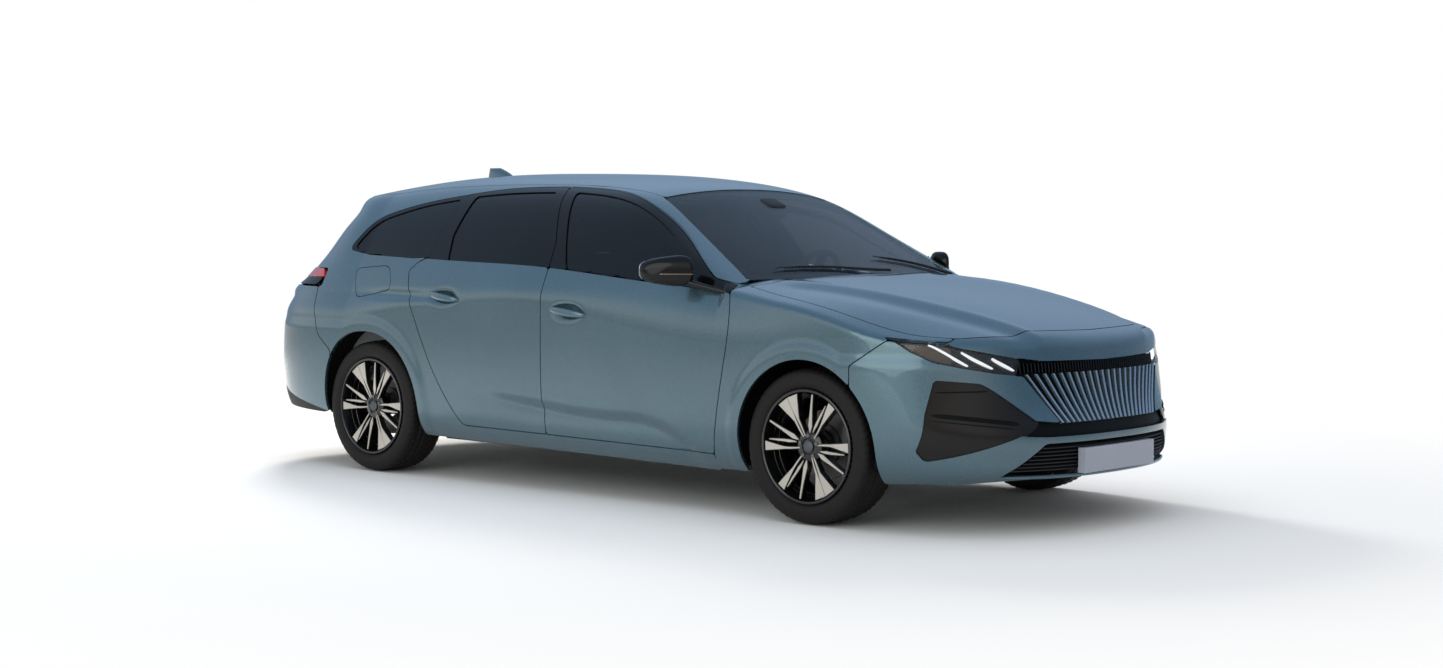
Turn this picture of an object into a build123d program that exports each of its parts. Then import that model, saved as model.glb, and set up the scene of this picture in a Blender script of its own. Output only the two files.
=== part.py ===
"""A five-door estate car, built as separate panels, doors, glass, seats and running gear.

Frame: +X points forward, +Y to the car's left, +Z up. The origin is on the ground, at the middle
of the overall length, on the centre plane. All sizes are in millimetres.
"""

import os
from math import atan2, cos, pi, radians, sin

from build123d import *

# ---------------------------------------------------------------- driving dimensions
overall_length = 4636.0
side_half_width = 905.0
roof_height = 1447.0
wheelbase = 2732.0
front_overhang = 910.0
track = 1559.0
belt_height = 985.0
sill_height = 190.0
floor_height = 176.0

tyre_radius = 317.0
rim_flange_radius = 233.5
arch_radius_front = 352.0
arch_radius_rear = 366.0
liner_radius_front = 412.0
liner_radius_rear = 390.0
liner_thickness = 12.0
steering_bay_half_width = 470.0
rear_bay_half_width = 630.0

shut_gap = 8.0
skin_thickness = 12.0
flange_depth = 18.0
rest_gap = 0.4
frame_thickness = 45.0
wall_thickness = 95.0
door_box_inset = 45.0
dashboard_half_width = 625.0
aperture_inset = 20.0
roof_half_width = 562.0
floor_half_width = 725.0

# ---------------------------------------------------------------- places worked out from them
nose_x = overall_length / 2
tail_x = -overall_length / 2
front_axle_x = nose_x - front_overhang
rear_axle_x = front_axle_x - wheelbase
wheel_y = track / 2
axle_z = tyre_radius
reach = 3000.0

os.makedirs("parts", exist_ok=True)


# ---------------------------------------------------------------- the body's outer form
def inset_loop(points, distance):
    """Moves each point of a closed loop inwards, square to the line between its neighbours."""
    moved = []
    for index, (a, b) in enumerate(points):
        before = points[index - 1]
        after = points[(index + 1) % len(points)]
        run = Vector(after[0] - before[0], after[1] - before[1])
        step = Vector(-run.Y, run.X).normalized() * distance
        moved.append((a + step.X, b + step.Y))
    return moved


def curve_through(points):
    """Draws a straight line through two points, or a spline through more."""
    if len(points) == 2:
        return Line(*points)
    return Spline(*points)


def side_profile(edge, distance):
    """The car's outline seen from the side, as seven runs of points.

    edge is 0 on the centre plane and 1 at the widest plane, where the hood, screen and roof have
    fallen away and the screen has swept back.
    """
    hood_drop, screen_sweep, roof_drop = 72 * edge, 250 * edge, 178 * edge
    tail_sweep = 150 * edge
    runs = [
        [(2215, 200), (2290, 228), (nose_x, 330), (2310, 430), (2262, 600), (2240, 690)],
        [(2240, 690), (2196, 752 - hood_drop * 0.3), (2060, 828 - hood_drop * 0.6)]
        + [(1750, 917 - hood_drop * 0.8), (1420, 972 - hood_drop), (1090, 1004 - hood_drop)],
        [(1090, 1004 - hood_drop), (1060 - screen_sweep * 0.6, 1014 - hood_drop)],
        [(1060 - screen_sweep * 0.6, 1014 - hood_drop), (720 - screen_sweep, 1205 - roof_drop * 0.7)]
        + [(330 - screen_sweep, 1382 - roof_drop)],
        [(330 - screen_sweep, 1382 - roof_drop), (0 - screen_sweep * 0.5, 1426 - roof_drop)]
        + [(-500, roof_height - roof_drop), (-1100, 1436 - roof_drop)]
        + [(-1900 + tail_sweep, 1362 - roof_drop)],
        [(-1900 + tail_sweep, 1362 - roof_drop), (-2020 + tail_sweep * 0.8, 1190 - roof_drop * 0.5)]
        + [(-2150 + tail_sweep * 0.4, 1020)],
        [(-2150 + tail_sweep * 0.4, 1020), (-2262, 930), (-2285, 800), (tail_x, 560)]
        + [(tail_x, 420), (-2240, 235)],
        [(-2240, 235), (-1500, 196), (0, floor_height), (1500, 182), (2215, 200)],
    ]
    corners = [point for run in runs for point in run[:-1]]
    moved = inset_loop(corners, distance)
    result, start = [], 0
    for run in runs:
        stop = start + len(run) - 1
        result.append([moved[i % len(moved)] for i in range(start, stop + 1)])
        start = stop
    return result


def superellipse(length, width, power_x, power_y, count=9):
    """Quarter of a superellipse, from (0, width) to (length, 0)."""
    points = []
    for index in range(count):
        angle = index / (count - 1) * pi / 2
        points.append((length * sin(angle) ** (2 / power_x), width * cos(angle) ** (2 / power_y)))
    return points


def plan_ends(distance):
    """The nose and tail outlines seen from above, each running across the car."""
    half = side_half_width + 14 - distance
    nose = superellipse(nose_x - distance - 1600, half, 2.2, 2.5)
    tail = superellipse(1500 - tail_x - distance - 3000, half, 3.2, 4.0)
    nose_right = [(1600 + x, -y) for x, y in nose]
    nose_left = [(x, -y) for x, y in reversed(nose_right[:-1])]
    tail_left = [(-1500 - x, y) for x, y in tail]
    tail_right = [(x, -y) for x, y in reversed(tail_left[:-1])]
    return nose_right + nose_left, tail_left + tail_right


def cross_section(distance):
    """The right half of the body's cross-section from sill to roof, as (half width, height)."""
    runs = [
        [(795, sill_height - 40), (818, sill_height)],
        [(818, sill_height), (868, 235), (890, 300), (904, 430), (914, 600), (914, 780), (896, 900)]
        + [(868, belt_height)],
        [(868, belt_height), (812, 1100), (750, 1210), (672, 1318), (600, 1390), (500, 1460)],
    ]
    moved = []
    for run in runs:
        shifted = []
        for index, (y, z) in enumerate(run):
            before, after = run[max(index - 1, 0)], run[min(index + 1, len(run) - 1)]
            line = Vector(after[0] - before[0], after[1] - before[1])
            step = Vector(-line.Y, line.X).normalized() * distance
            shifted.append((y + step.X, z + step.Y))
        moved.append(shifted)
    for first, second in zip(moved, moved[1:]):
        meet = ((first[-1][0] + second[0][0]) / 2, (first[-1][1] + second[0][1]) / 2)
        first[-1] = second[0] = meet
    return moved


def body_form(distance):
    """The whole body as one closed solid, moved inwards by distance on every side."""
    with BuildPart() as form:
        for y, edge in ((940, 1), (0, 0), (-940, 1)):
            with BuildSketch(Plane.XZ.offset(-y)):
                with BuildLine():
                    for run in side_profile(edge, distance):
                        curve_through(run)
                make_face()
        loft()
        nose, tail = plan_ends(distance)
        with BuildSketch(Plane.XY):
            with BuildLine():
                Spline(*nose, tangents=[(1, 0), (-1, 0)])
                Line(nose[-1], tail[0])
                Spline(*tail, tangents=[(-1, 0), (1, 0)])
                Line(tail[-1], nose[0])
            make_face()
        extrude(amount=2000, mode=Mode.INTERSECT)
        with BuildSketch(Plane.YZ):
            with BuildLine():
                for side in (1, -1):
                    for run in cross_section(distance):
                        curve_through([(side * y, z) for y, z in run])
                low, high = cross_section(distance)[0][0], cross_section(distance)[-1][-1]
                Line((-low[0], low[1]), low)
                Line((-high[0], high[1]), high)
            make_face()
        extrude(amount=reach, both=True, mode=Mode.INTERSECT)
    return form.part



form_outer = body_form(0)
form_skin = body_form(skin_thickness)
form_flange = body_form(flange_depth)
form_buffer = body_form(flange_depth - rest_gap)
form_rest = body_form(skin_thickness + rest_gap)
form_frame = body_form(frame_thickness)
form_inner = body_form(wall_thickness)


# ---------------------------------------------------------------- drawing closed outlines
def straight(*points):
    """Straight runs from point to point."""
    return [list(pair) for pair in zip(points, points[1:])]


def curve(*points):
    """One smooth run through the points."""
    return [list(points)]


def mirrored(runs):
    """The runs of the other half, for an outline that is symmetric about its second axis."""
    return [[(-a, b) for a, b in reversed(run)] for run in reversed(runs)]


def grown(runs, distance):
    """The closed outline with every point moved outwards by distance, mitred at the corners."""
    loop = [point for run in runs for point in run[:-1]]
    area = sum(p[0] * q[1] - q[0] * p[1] for p, q in zip(loop, loop[1:] + loop[:1]))
    turn = 1 if area > 0 else -1
    moved = []
    for index, (a, b) in enumerate(loop):
        before, after = loop[index - 1], loop[(index + 1) % len(loop)]
        into = Vector(a - before[0], b - before[1]).normalized()
        out = Vector(after[0] - a, after[1] - b).normalized()
        first, second = Vector(into.Y, -into.X), Vector(out.Y, -out.X)
        step = (first + second) * (turn * distance / max(1 + first.dot(second), 0.4))
        moved.append((a + step.X, b + step.Y))
    result, start = [], 0
    for run in runs:
        stop = start + len(run) - 1
        result.append([moved[i % len(moved)] for i in range(start, stop + 1)])
        start = stop
    return result


def solid_from(plane, runs, grow, length):
    """Straight-sided solid on a plane, from a closed outline grown by a margin."""
    with BuildPart() as prism:
        with BuildSketch(plane):
            with BuildLine():
                for run in grown(runs, grow):
                    curve_through(run)
            make_face()
        extrude(amount=length)
    return prism.part


def side_prism(runs, grow=0.0, y=0.0):
    """Solid through the right half of the car, from a side-view outline."""
    return solid_from(Plane.XZ.offset(y), runs, grow, 1200 - y)


def plan_prism(runs, grow=0.0, low=600.0):
    """Upright solid from a plan outline."""
    return solid_from(Plane.XY.offset(low), runs, grow, 1000)


def end_prism(runs, start, stop, grow=0.0):
    """Solid along the car between two stations, from an outline seen from the end."""
    return solid_from(Plane.YZ.offset(start), runs, grow, stop - start)


# ---------------------------------------------------------------- outlines seen from the side
belt_front = [(-243, 1373), (12, 1360), (211, 1331), (434, 1251), (663, 1122), (871, 984)]
pillar_line = [(-110, 262), (-110, 1000), (-118, 1120), (-243, 1373)]
front_door = (straight((-110, 262), (905, 250), (983, 630))
              + curve((983, 630), (1004, 833), (976, 957))
              + curve((976, 957), *reversed(belt_front)) + straight(*reversed(pillar_line)))
rear_door = (straight(*pillar_line) + curve((-243, 1373), (-657, 1364), (-905, 1338))
             + straight((-905, 1338), (-978, 1040), (-1040, 1016), (-1086, 976))
             + curve((-1086, 976), (-980, 767), (-818, 470), (-670, 285))
             + straight((-670, 285), (-110, 262)))
front_window = (straight((0, 1013), (805, 950))
                + curve((805, 950), (640, 1096), (430, 1222), (205, 1302), (12, 1332), (-166, 1344))
                + straight((-166, 1344), (0, 1013)))
rear_window = (straight((-300, 1346), (-190, 1122), (-182, 1014), (-820, 1034), (-852, 1150),
                        (-828, 1331)) + curve((-828, 1331), (-657, 1341), (-300, 1346)))
quarter_window = (straight((-930, 1318), (-1008, 1052), (-1455, 1058), (-1590, 1084))
                  + curve((-1590, 1084), (-1480, 1212), (-1224, 1288), (-930, 1318)))
fuel_door = straight((-1475, 982), (-1255, 998), (-1185, 885), (-1385, 842), (-1475, 982))
fender = (straight((905, 250), (983, 630)) + curve((983, 630), (1004, 833), (976, 957))
          + straight((976, 957), (1010, 1100), (2010, 1100), (2010, 755), (1806, 760),
                     (1650, 655), (1650, 100), (880, 100), (905, 250)))
bumper_end = straight((-1601, 100), (-1601, 578), (-1692, 648), (-1746, 770), (-1780, 878),
                      (-2500, 878), (-2500, 100), (-1601, 100))

# ---------------------------------------------------------------- outlines seen from above
bonnet_side = [(1012, -772), (1125, -792), (1480, -827), (1750, -815), (1900, -775), (2020, -700)]
bonnet_front = [(2020, -700), (2085, -590), (2131, -430), (2163, -210), (2174, 0)]
bonnet_plan = (curve(*bonnet_side)
               + curve(*bonnet_front, *[(x, -y) for x, y in reversed(bonnet_front[:-1])])
               + curve(*[(x, -y) for x, y in reversed(bonnet_side)])
               + curve((1012, 772), (1132, 380), (1174, 0), (1132, -380), (1012, -772)))
screen_plan = (curve((327, -566), (341, -300), (345, 0), (341, 300), (327, 566))
               + straight((327, 566), (967, 732))
               + curve((967, 732), (1092, 370), (1134, 0), (1092, -370), (967, -732))
               + straight((967, -732), (327, -566)))

# ---------------------------------------------------------------- outlines seen from the ends
tailgate_side = straight((-1694, 1600), (-1694, 1342), (-1986, 1012), (-2006, 976),
                         (-2500, 976), (-2500, 1600), (-1694, 1600))
tailgate_half = straight((0, 645), (500, 645), (566, 690), (596, 870), (606, 1000), (0, 1000))
tailgate_end = tailgate_half + mirrored(tailgate_half)
window_half = straight((0, 1034), (540, 1040), (600, 1062), (560, 1240), (520, 1284), (0, 1300))
tailgate_window = window_half + mirrored(window_half)
headlamp_end = (curve((-872, 772), (-797, 758), (-710, 730), (-595, 704), (-501, 686))
                + straight((-501, 686), (-523, 624))
                + curve((-523, 624), (-612, 635), (-723, 657), (-794, 678))
                + straight((-794, 678), (-840, 720), (-872, 772)))
grille_end = (curve((-500, 622), (-250, 606), (0, 600), (250, 606), (500, 622))
              + straight((500, 622), (350, 432), (-350, 432), (-500, 622)))
lower_intake = straight((-440, 355), (440, 355), (600, 228), (-600, 228), (-440, 355))
side_intake = straight((-792, 605), (-669, 592), (-625, 565), (-469, 444), (-552, 389),
                       (-812, 297), (-831, 337), (-818, 489), (-792, 605))


def block(x, y, z):
    """Plain block between pairs of limits."""
    with BuildPart() as solid:
        with Locations(((x[0] + x[1]) / 2, (y[0] + y[1]) / 2, (z[0] + z[1]) / 2)):
            Box(x[1] - x[0], y[1] - y[0], z[1] - z[0])
    return solid.part


def wheel_bay(x, skin_radius, liner_radius, half_width, shrink=0.0):
    """Room for the right wheel: the arch through the skin and the wider bay behind it."""
    with BuildPart() as bay:
        with BuildSketch(Plane.XZ.offset(half_width)):
            with Locations((x, axle_z)):
                Circle(skin_radius)
        extrude(amount=1200 - half_width)
        with BuildSketch(Plane.XZ.offset(half_width + shrink)):
            with Locations((x, axle_z)):
                Circle(liner_radius - shrink)
        extrude(amount=884 - half_width - shrink)
    return bay.part


def both_sides(part):
    """The part together with its mirror image across the centre plane."""
    return part + mirror(part, about=Plane.XZ)


def tailgate_room(grow):
    """Room of the tailgate: all behind its side edges above the lamps, and the door below."""
    upper = side_prism(tailgate_side, grow, -1200)
    return upper + end_prism(tailgate_end, -2500, -1900, grow)


tailgate_front = -1694.0
tailgate_hole = tailgate_room(shut_gap / 2)
bay_front = wheel_bay(front_axle_x, arch_radius_front, liner_radius_front, steering_bay_half_width)
bay_rear = wheel_bay(rear_axle_x, arch_radius_rear, liner_radius_rear, rear_bay_half_width)
front_bays = both_sides(bay_front)
headlamp_room = both_sides(end_prism(headlamp_end, 1785, 2400))
side_intake_room = both_sides(end_prism(side_intake, 1800, 2400))
lower_intake_room = end_prism(lower_intake, 2000, 2400)
fender_room = both_sides(side_prism(fender, 3))
roof_room = (plan_prism(screen_plan, 14, 900)
             + block((-3000, 600), (-roof_half_width - 14, roof_half_width + 14), (1100, 1600)))
door_room = side_prism(front_door, shut_gap / 2) + side_prism(rear_door, shut_gap / 2)

# ---------------------------------------------------------------- doors, right side
def door_solid(outline, window, buffer):
    """Door with a thin outer skin over the shut line, boxed behind below the belt and framed
    above it. The buffer is the block that its rubber stop fills, between skin and body flange."""
    with BuildPart() as door:
        add(form_outer)
        add(form_skin, mode=Mode.SUBTRACT)
        add(side_prism(outline, -shut_gap / 2), mode=Mode.INTERSECT)
    with BuildPart() as box:
        add(form_skin)
        add(form_inner, mode=Mode.SUBTRACT)
        add(side_prism(outline, -door_box_inset), mode=Mode.INTERSECT)
        add(block((-1300, 1200), (-1000, 0), (belt_height, 1500)), mode=Mode.SUBTRACT)
    with BuildPart() as frame:
        add(form_skin)
        add(form_frame, mode=Mode.SUBTRACT)
        add(side_prism(outline, -30), mode=Mode.INTERSECT)
        add(block((-1300, 1200), (-1000, 0), (0, belt_height - 30)), mode=Mode.SUBTRACT)
    with BuildPart() as whole:
        add(door.part)
        add(box.part)
        add(frame.part)
        add((form_skin - form_buffer) & buffer)
        add(side_prism(window), mode=Mode.SUBTRACT)
        add(roof_room, mode=Mode.SUBTRACT)
    return whole.part


def door_glass(window):
    """Pane filling a window opening, just under the skin."""
    with BuildPart() as pane:
        add(form_skin)
        add(form_flange, mode=Mode.SUBTRACT)
        add(side_prism(window, -0.2), mode=Mode.INTERSECT)
    return pane.part


with BuildPart() as door_front_right:
    add(door_solid(front_door, front_window, block((-104, -93), (-1000, 0), (690, 750))))
with BuildPart() as door_rear_right:
    add(door_solid(rear_door, rear_window, block((-600, -500), (-1000, 0), (1349, 1358))))
with BuildPart() as glass_front_right:
    add(door_glass(front_window))
with BuildPart() as glass_rear_right:
    add(door_glass(rear_window))

with BuildPart() as mirror_right:
    with BuildSketch(Plane.XZ.offset(848)):
        with Locations((800, 982)):
            RectangleRounded(60, 34, 12)
    with BuildSketch(Plane.XZ.offset(902)):
        with Locations((772, 1000)):
            RectangleRounded(84, 44, 18)
    loft()
    with BuildSketch(Plane.XZ.offset(884)):
        with Locations((750, 1028)):
            RectangleRounded(96, 112, 34)
    with BuildSketch(Plane.XZ.offset(960)):
        with Locations((738, 1036)):
            RectangleRounded(112, 132, 44)
    with BuildSketch(Plane.XZ.offset(1031)):
        with Locations((706, 1030)):
            RectangleRounded(60, 84, 28)
    loft()
    add(side_prism(front_door) & form_outer, mode=Mode.SUBTRACT)

# ---------------------------------------------------------------- bonnet, roof, screen
bonnet_room = plan_prism(bonnet_plan, shut_gap / 2)
with BuildPart() as bonnet:
    add(form_skin)
    add(form_frame, mode=Mode.SUBTRACT)
    add(plan_prism(bonnet_plan, -30), mode=Mode.INTERSECT)
    add((form_outer - form_skin) & plan_prism(bonnet_plan, -shut_gap / 2))

with BuildPart() as windscreen:
    add(form_outer)
    add(form_skin, mode=Mode.SUBTRACT)
    add(plan_prism(screen_plan, 0, 900), mode=Mode.INTERSECT)

with BuildPart() as roof_panel:
    add(form_outer)
    add(form_frame, mode=Mode.SUBTRACT)
    add(block((tailgate_front + shut_gap / 2, 600), (-roof_half_width, roof_half_width), (1200, 1600)),
        mode=Mode.INTERSECT)
    add(plan_prism(screen_plan, 0, 900), mode=Mode.SUBTRACT)
    add(block((400, 900), (-reach, reach), (1100, 1600)), mode=Mode.SUBTRACT)

# ---------------------------------------------------------------- lamps, bumpers, grille
with BuildPart() as headlamp_right:
    add(form_outer)
    add(form_inner, mode=Mode.SUBTRACT)
    add(end_prism(headlamp_end, 1785, 2400), mode=Mode.INTERSECT)
    add(bonnet_room, mode=Mode.SUBTRACT)

with BuildPart() as tail_lamp_right:
    add(form_outer)
    add(form_inner, mode=Mode.SUBTRACT)
    add(block((-2400, -1750), (-1000, -590), (882, 968)), mode=Mode.INTERSECT)
    add(tailgate_hole, mode=Mode.SUBTRACT)

with BuildPart() as front_bumper:
    add(form_outer)
    add(form_frame, mode=Mode.SUBTRACT)
    add(block((1640, 2400), (-reach, reach), (100, 840)), mode=Mode.INTERSECT)
    add(bonnet_room, mode=Mode.SUBTRACT)
    for cutter in (fender_room, headlamp_room, front_bays, side_intake_room, lower_intake_room):
        add(cutter, mode=Mode.SUBTRACT)
    add(end_prism(grille_end, 2000, 2400), mode=Mode.SUBTRACT)

with BuildPart() as grille:
    add(form_skin)
    add(form_frame, mode=Mode.SUBTRACT)
    add(end_prism(grille_end, 2000, 2400), mode=Mode.INTERSECT)

with BuildPart() as intake_grilles:
    add(form_skin)
    add(form_frame, mode=Mode.SUBTRACT)
    add(lower_intake_room + side_intake_room, mode=Mode.INTERSECT)
    add(front_bays, mode=Mode.SUBTRACT)

with BuildPart() as fender_right:
    add(form_outer)
    add(form_skin, mode=Mode.SUBTRACT)
    add(side_prism(fender, -shut_gap / 2), mode=Mode.INTERSECT)
    add(bonnet_room, mode=Mode.SUBTRACT)
    add(plan_prism(screen_plan, 0, 900), mode=Mode.SUBTRACT)
    add(end_prism(headlamp_end, 1785, 2400), mode=Mode.SUBTRACT)
    add(bay_front, mode=Mode.SUBTRACT)
    add(block((800, 2200), (-640, 640), (100, 1500)), mode=Mode.SUBTRACT)
    add(block((800, 1100), (-760, 760), (100, 700)), mode=Mode.SUBTRACT)
    add(block((1012, 2200), (-reach, reach), (-200, sill_height)), mode=Mode.SUBTRACT)

with BuildPart() as rear_bumper_half:
    add(form_outer)
    add(form_frame, mode=Mode.SUBTRACT)
    add(side_prism(bumper_end), mode=Mode.INTERSECT)
    add(tailgate_hole, mode=Mode.SUBTRACT)
    add(bay_rear, mode=Mode.SUBTRACT)
    add(block((-2150, -1500), (-780, 0), (100, 340)), mode=Mode.SUBTRACT)
with BuildPart() as rear_bumper:
    add(both_sides(rear_bumper_half.part))

# ---------------------------------------------------------------- tailgate
with BuildPart() as tailgate:
    add(form_outer)
    add(form_inner, mode=Mode.SUBTRACT)
    add(tailgate_room(-shut_gap / 2), mode=Mode.INTERSECT)
    add(end_prism(tailgate_window, -2500, -1900), mode=Mode.SUBTRACT)
    add(block((-2258, -2236), (-25, 25), (640 + rest_gap, 700)))

with BuildPart() as tailgate_glass:
    add(form_skin)
    add(form_flange, mode=Mode.SUBTRACT)
    add(end_prism(tailgate_window, -2500, -1900, -0.2), mode=Mode.INTERSECT)

# ---------------------------------------------------------------- body sides
with BuildPart() as fuel_flap:
    add(form_outer)
    add(form_skin, mode=Mode.SUBTRACT)
    add(side_prism(fuel_door, -shut_gap / 2), mode=Mode.INTERSECT)
    add((form_skin - form_buffer) & block((-1260, -1230), (-1000, 0), (895, 925)))


def body_side(with_flap):
    """Right side of the shell: pillars, sill, rail over the doors and rear quarter."""
    with BuildPart() as shell:
        add(form_outer)
        add(form_inner, mode=Mode.SUBTRACT)
        add(block((-2250, 1060), (-1000, -floor_half_width), (150, 700)), mode=Mode.INTERSECT)
    with BuildPart() as upper:
        add(form_outer)
        add(form_inner, mode=Mode.SUBTRACT)
        add(block((-2300, 1060), (-1000, -400), (380, 1500)), mode=Mode.INTERSECT)
    with BuildPart() as side:
        add(shell.part)
        add(upper.part)
        add(block((-3000, 3000), (-roof_half_width, roof_half_width), (100, 1600)),
            mode=Mode.SUBTRACT)
        add(block((1010, 1200), (-1000, 0), (900, 1600)), mode=Mode.SUBTRACT)
        add(plan_prism(screen_plan, 0, 930), mode=Mode.SUBTRACT)
        add(tailgate_hole, mode=Mode.SUBTRACT)
        add(bay_rear, mode=Mode.SUBTRACT)
        add(bay_front, mode=Mode.SUBTRACT)
    with BuildPart() as pocket:
        add(form_outer)
        add(form_flange, mode=Mode.SUBTRACT)
        add(door_room, mode=Mode.INTERSECT)
    with BuildPart() as front_pocket:
        add(form_outer)
        add(form_skin, mode=Mode.SUBTRACT)
        add(side_prism(fender, shut_gap / 2), mode=Mode.INTERSECT)
    with BuildPart() as flap_pocket:
        add(form_outer)
        add(form_flange, mode=Mode.SUBTRACT)
        add(side_prism(fuel_door, shut_gap / 2), mode=Mode.INTERSECT)
    with BuildPart() as bumper_pocket:
        add(form_outer)
        add(form_frame, mode=Mode.SUBTRACT)
        add(side_prism(bumper_end), mode=Mode.INTERSECT)
    with BuildPart() as finished:
        add(side.part)
        for cutter in (pocket, front_pocket, bumper_pocket, tail_lamp_right):
            add(cutter.part, mode=Mode.SUBTRACT)
        if with_flap:
            add(flap_pocket.part, mode=Mode.SUBTRACT)
        add(side_prism(front_door, -aperture_inset), mode=Mode.SUBTRACT)
        add(side_prism(rear_door, -aperture_inset), mode=Mode.SUBTRACT)
        add(side_prism(quarter_window), mode=Mode.SUBTRACT)
        add(block((850, 948), (-862, -760), (922, 968)), mode=Mode.SUBTRACT)
    return finished.part


with BuildPart() as body_side_right:
    add(body_side(True))
with BuildPart() as body_side_left:
    add(mirror(body_side(False), about=Plane.XZ, mode=Mode.PRIVATE))
with BuildPart() as quarter_window_right:
    add(form_skin)
    add(form_flange, mode=Mode.SUBTRACT)
    add(side_prism(quarter_window, -0.2), mode=Mode.INTERSECT)

# ---------------------------------------------------------------- floor and front frame
def wheel_liner(bay_x, radius, half_width, stop_y, low):
    """Arched liner over the right wheel, closed on the inner side above the axle."""
    with BuildPart() as liner:
        with BuildSketch(Plane.XZ.offset(half_width)):
            with Locations((bay_x, axle_z)):
                Circle(radius - 0.3)
        extrude(amount=stop_y - half_width)
        with BuildSketch(Plane.XZ.offset(half_width + liner_thickness)):
            with Locations((bay_x, axle_z)):
                Circle(radius - liner_thickness)
        extrude(amount=600, mode=Mode.SUBTRACT)
        add(block((bay_x - 500, bay_x + 500), (-1000, 0), (-400, low)), mode=Mode.SUBTRACT)
    return liner.part


floor_zone = form_inner + block((-2400, 2400), (-floor_half_width, floor_half_width), (100, 300))
with BuildPart() as floor_half:
    with BuildSketch(Plane.XZ):
        with BuildLine():
            Polyline((1035, 900), (1035, 330), (1012, floor_height), (-950, floor_height),
                     (-990, 350), (-2215, 350), (-2215, 390), (-955, 390), (-912, 216),
                     (985, 216), (1010, 330), (1010, 900), (1035, 900))
        make_face()
    extrude(amount=1000)
    add(block((-1000, 1100), (-90, 90), (100, 300)), mode=Mode.SUBTRACT)
    with BuildSketch(Plane.YZ.offset(-985)):
        with BuildLine():
            Polyline((-130, floor_height), (-130, 240), (-90, 330), (0, 330), (0, 300), (-68, 300),
                     (-90, floor_height), (-130, floor_height))
        make_face()
    extrude(amount=1998)
    add(floor_zone, mode=Mode.INTERSECT)
    add(bay_front, mode=Mode.SUBTRACT)
    add(bay_rear, mode=Mode.SUBTRACT)
    add((form_frame - form_inner) & block((-2400, -2150), (-555, 0), (360, 640)))
with BuildPart() as floor_pan:
    add(both_sides(floor_half.part))

king_tilt = atan2(700 - 560, 800 - 235)
king_low = Vector(front_axle_x, -700, 255.3)
king_high = Vector(front_axle_x, -700 + (773.7 - 255.3) * sin(king_tilt) / cos(king_tilt), 773.7)
king_plane = Plane(origin=king_low, z_dir=(king_high - king_low))
king_length = (king_high - king_low).length

with BuildPart() as strut_room:
    with BuildSketch(king_plane):
        Circle(42)
    extrude(amount=king_length + 60)
strut_rooms = both_sides(strut_room.part)

liner_front = wheel_liner(front_axle_x, liner_radius_front, steering_bay_half_width, 884, 267)
liner_rear = wheel_liner(rear_axle_x, liner_radius_rear, rear_bay_half_width, 884, 360)
liner_trim = form_skin & block((-reach, reach), (-reach, reach), (floor_height, 1100))
with BuildPart() as wheel_arch_liners:
    add(both_sides(liner_front))
    add(block((front_axle_x - 110, front_axle_x + 110), (-600, 600), (200, 430)),
        mode=Mode.SUBTRACT)
    add(strut_rooms, mode=Mode.SUBTRACT)
    add(both_sides(liner_rear))
    add(liner_trim, mode=Mode.INTERSECT)
    add(headlamp_room, mode=Mode.SUBTRACT)

with BuildPart() as front_frame:
    add(both_sides(block((1035, 1800), (-456, -440), (250, 800))))
    add(both_sides(block((1790, 2090), (-456, -440), (250, 690))))
    add(both_sides(block((1060, 1780), (-880, -440), (800, 818))))
    add(both_sides(block((1012, 1060), (-880, -440), (760, 818))))
    add(form_rest, mode=Mode.INTERSECT)
    add(both_sides(body_side_right.part), mode=Mode.SUBTRACT)
    add(floor_pan.part, mode=Mode.SUBTRACT)
    add(block((front_axle_x - 115, front_axle_x + 115), (-600, 600), (200, 435)),
        mode=Mode.SUBTRACT)
    add(block((2060, 2090), (-456, 456), (250, 330)))
    add(block((2060, 2090), (-456, 456), (640, 690)))
    add(block((2120, 2165), (-540, 540), (480, 550)))
    add(both_sides(block((2080, 2130), (-456, -380), (480, 550))))
    add(both_sides(form_frame & block((2160, 2400), (-380, -300), (490, 540))))
    add(both_sides(form_frame & block((1490, 1510), (-610, -590), (810, 1000))))

# ---------------------------------------------------------------- cabin
column_angle = radians(24)
column_axis = Vector(-cos(column_angle), 0, sin(column_angle))
column_centre = Vector(400, 370, 905)
column_plane = Plane(origin=column_centre, x_dir=(0, 1, 0), z_dir=column_axis)

with BuildPart() as dashboard:
    with BuildSketch(Plane.XZ):
        with BuildLine():
            Polyline((1010, 880), (1010, 640), (640, 640), (560, 800))
            Spline((560, 800), (590, 900), (720, 936), (900, 915), (1010, 880))
        make_face()
    extrude(amount=dashboard_half_width, both=True)
    add(block((300, 1010), (-120, 120), (330, 660)))
    with BuildSketch(column_plane.offset(-100)):
        Circle(42)
    extrude(amount=-160)
    add(form_inner, mode=Mode.INTERSECT)

with BuildPart() as steering_wheel:
    with BuildSketch(Plane(origin=column_centre + Vector(0, 185, 0), x_dir=(0, 1, 0),
                           z_dir=(-sin(column_angle), 0, -cos(column_angle)))):
        Circle(14)
    revolve(axis=Axis(column_centre, column_axis))
    with BuildSketch(column_plane.offset(-10)):
        Circle(62)
        Rectangle(350, 56)
        with Locations((0, -90)):
            Rectangle(44, 170)
    extrude(amount=20)
    with BuildSketch(column_plane.offset(-99.5)):
        Circle(30)
    extrude(amount=90)


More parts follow.
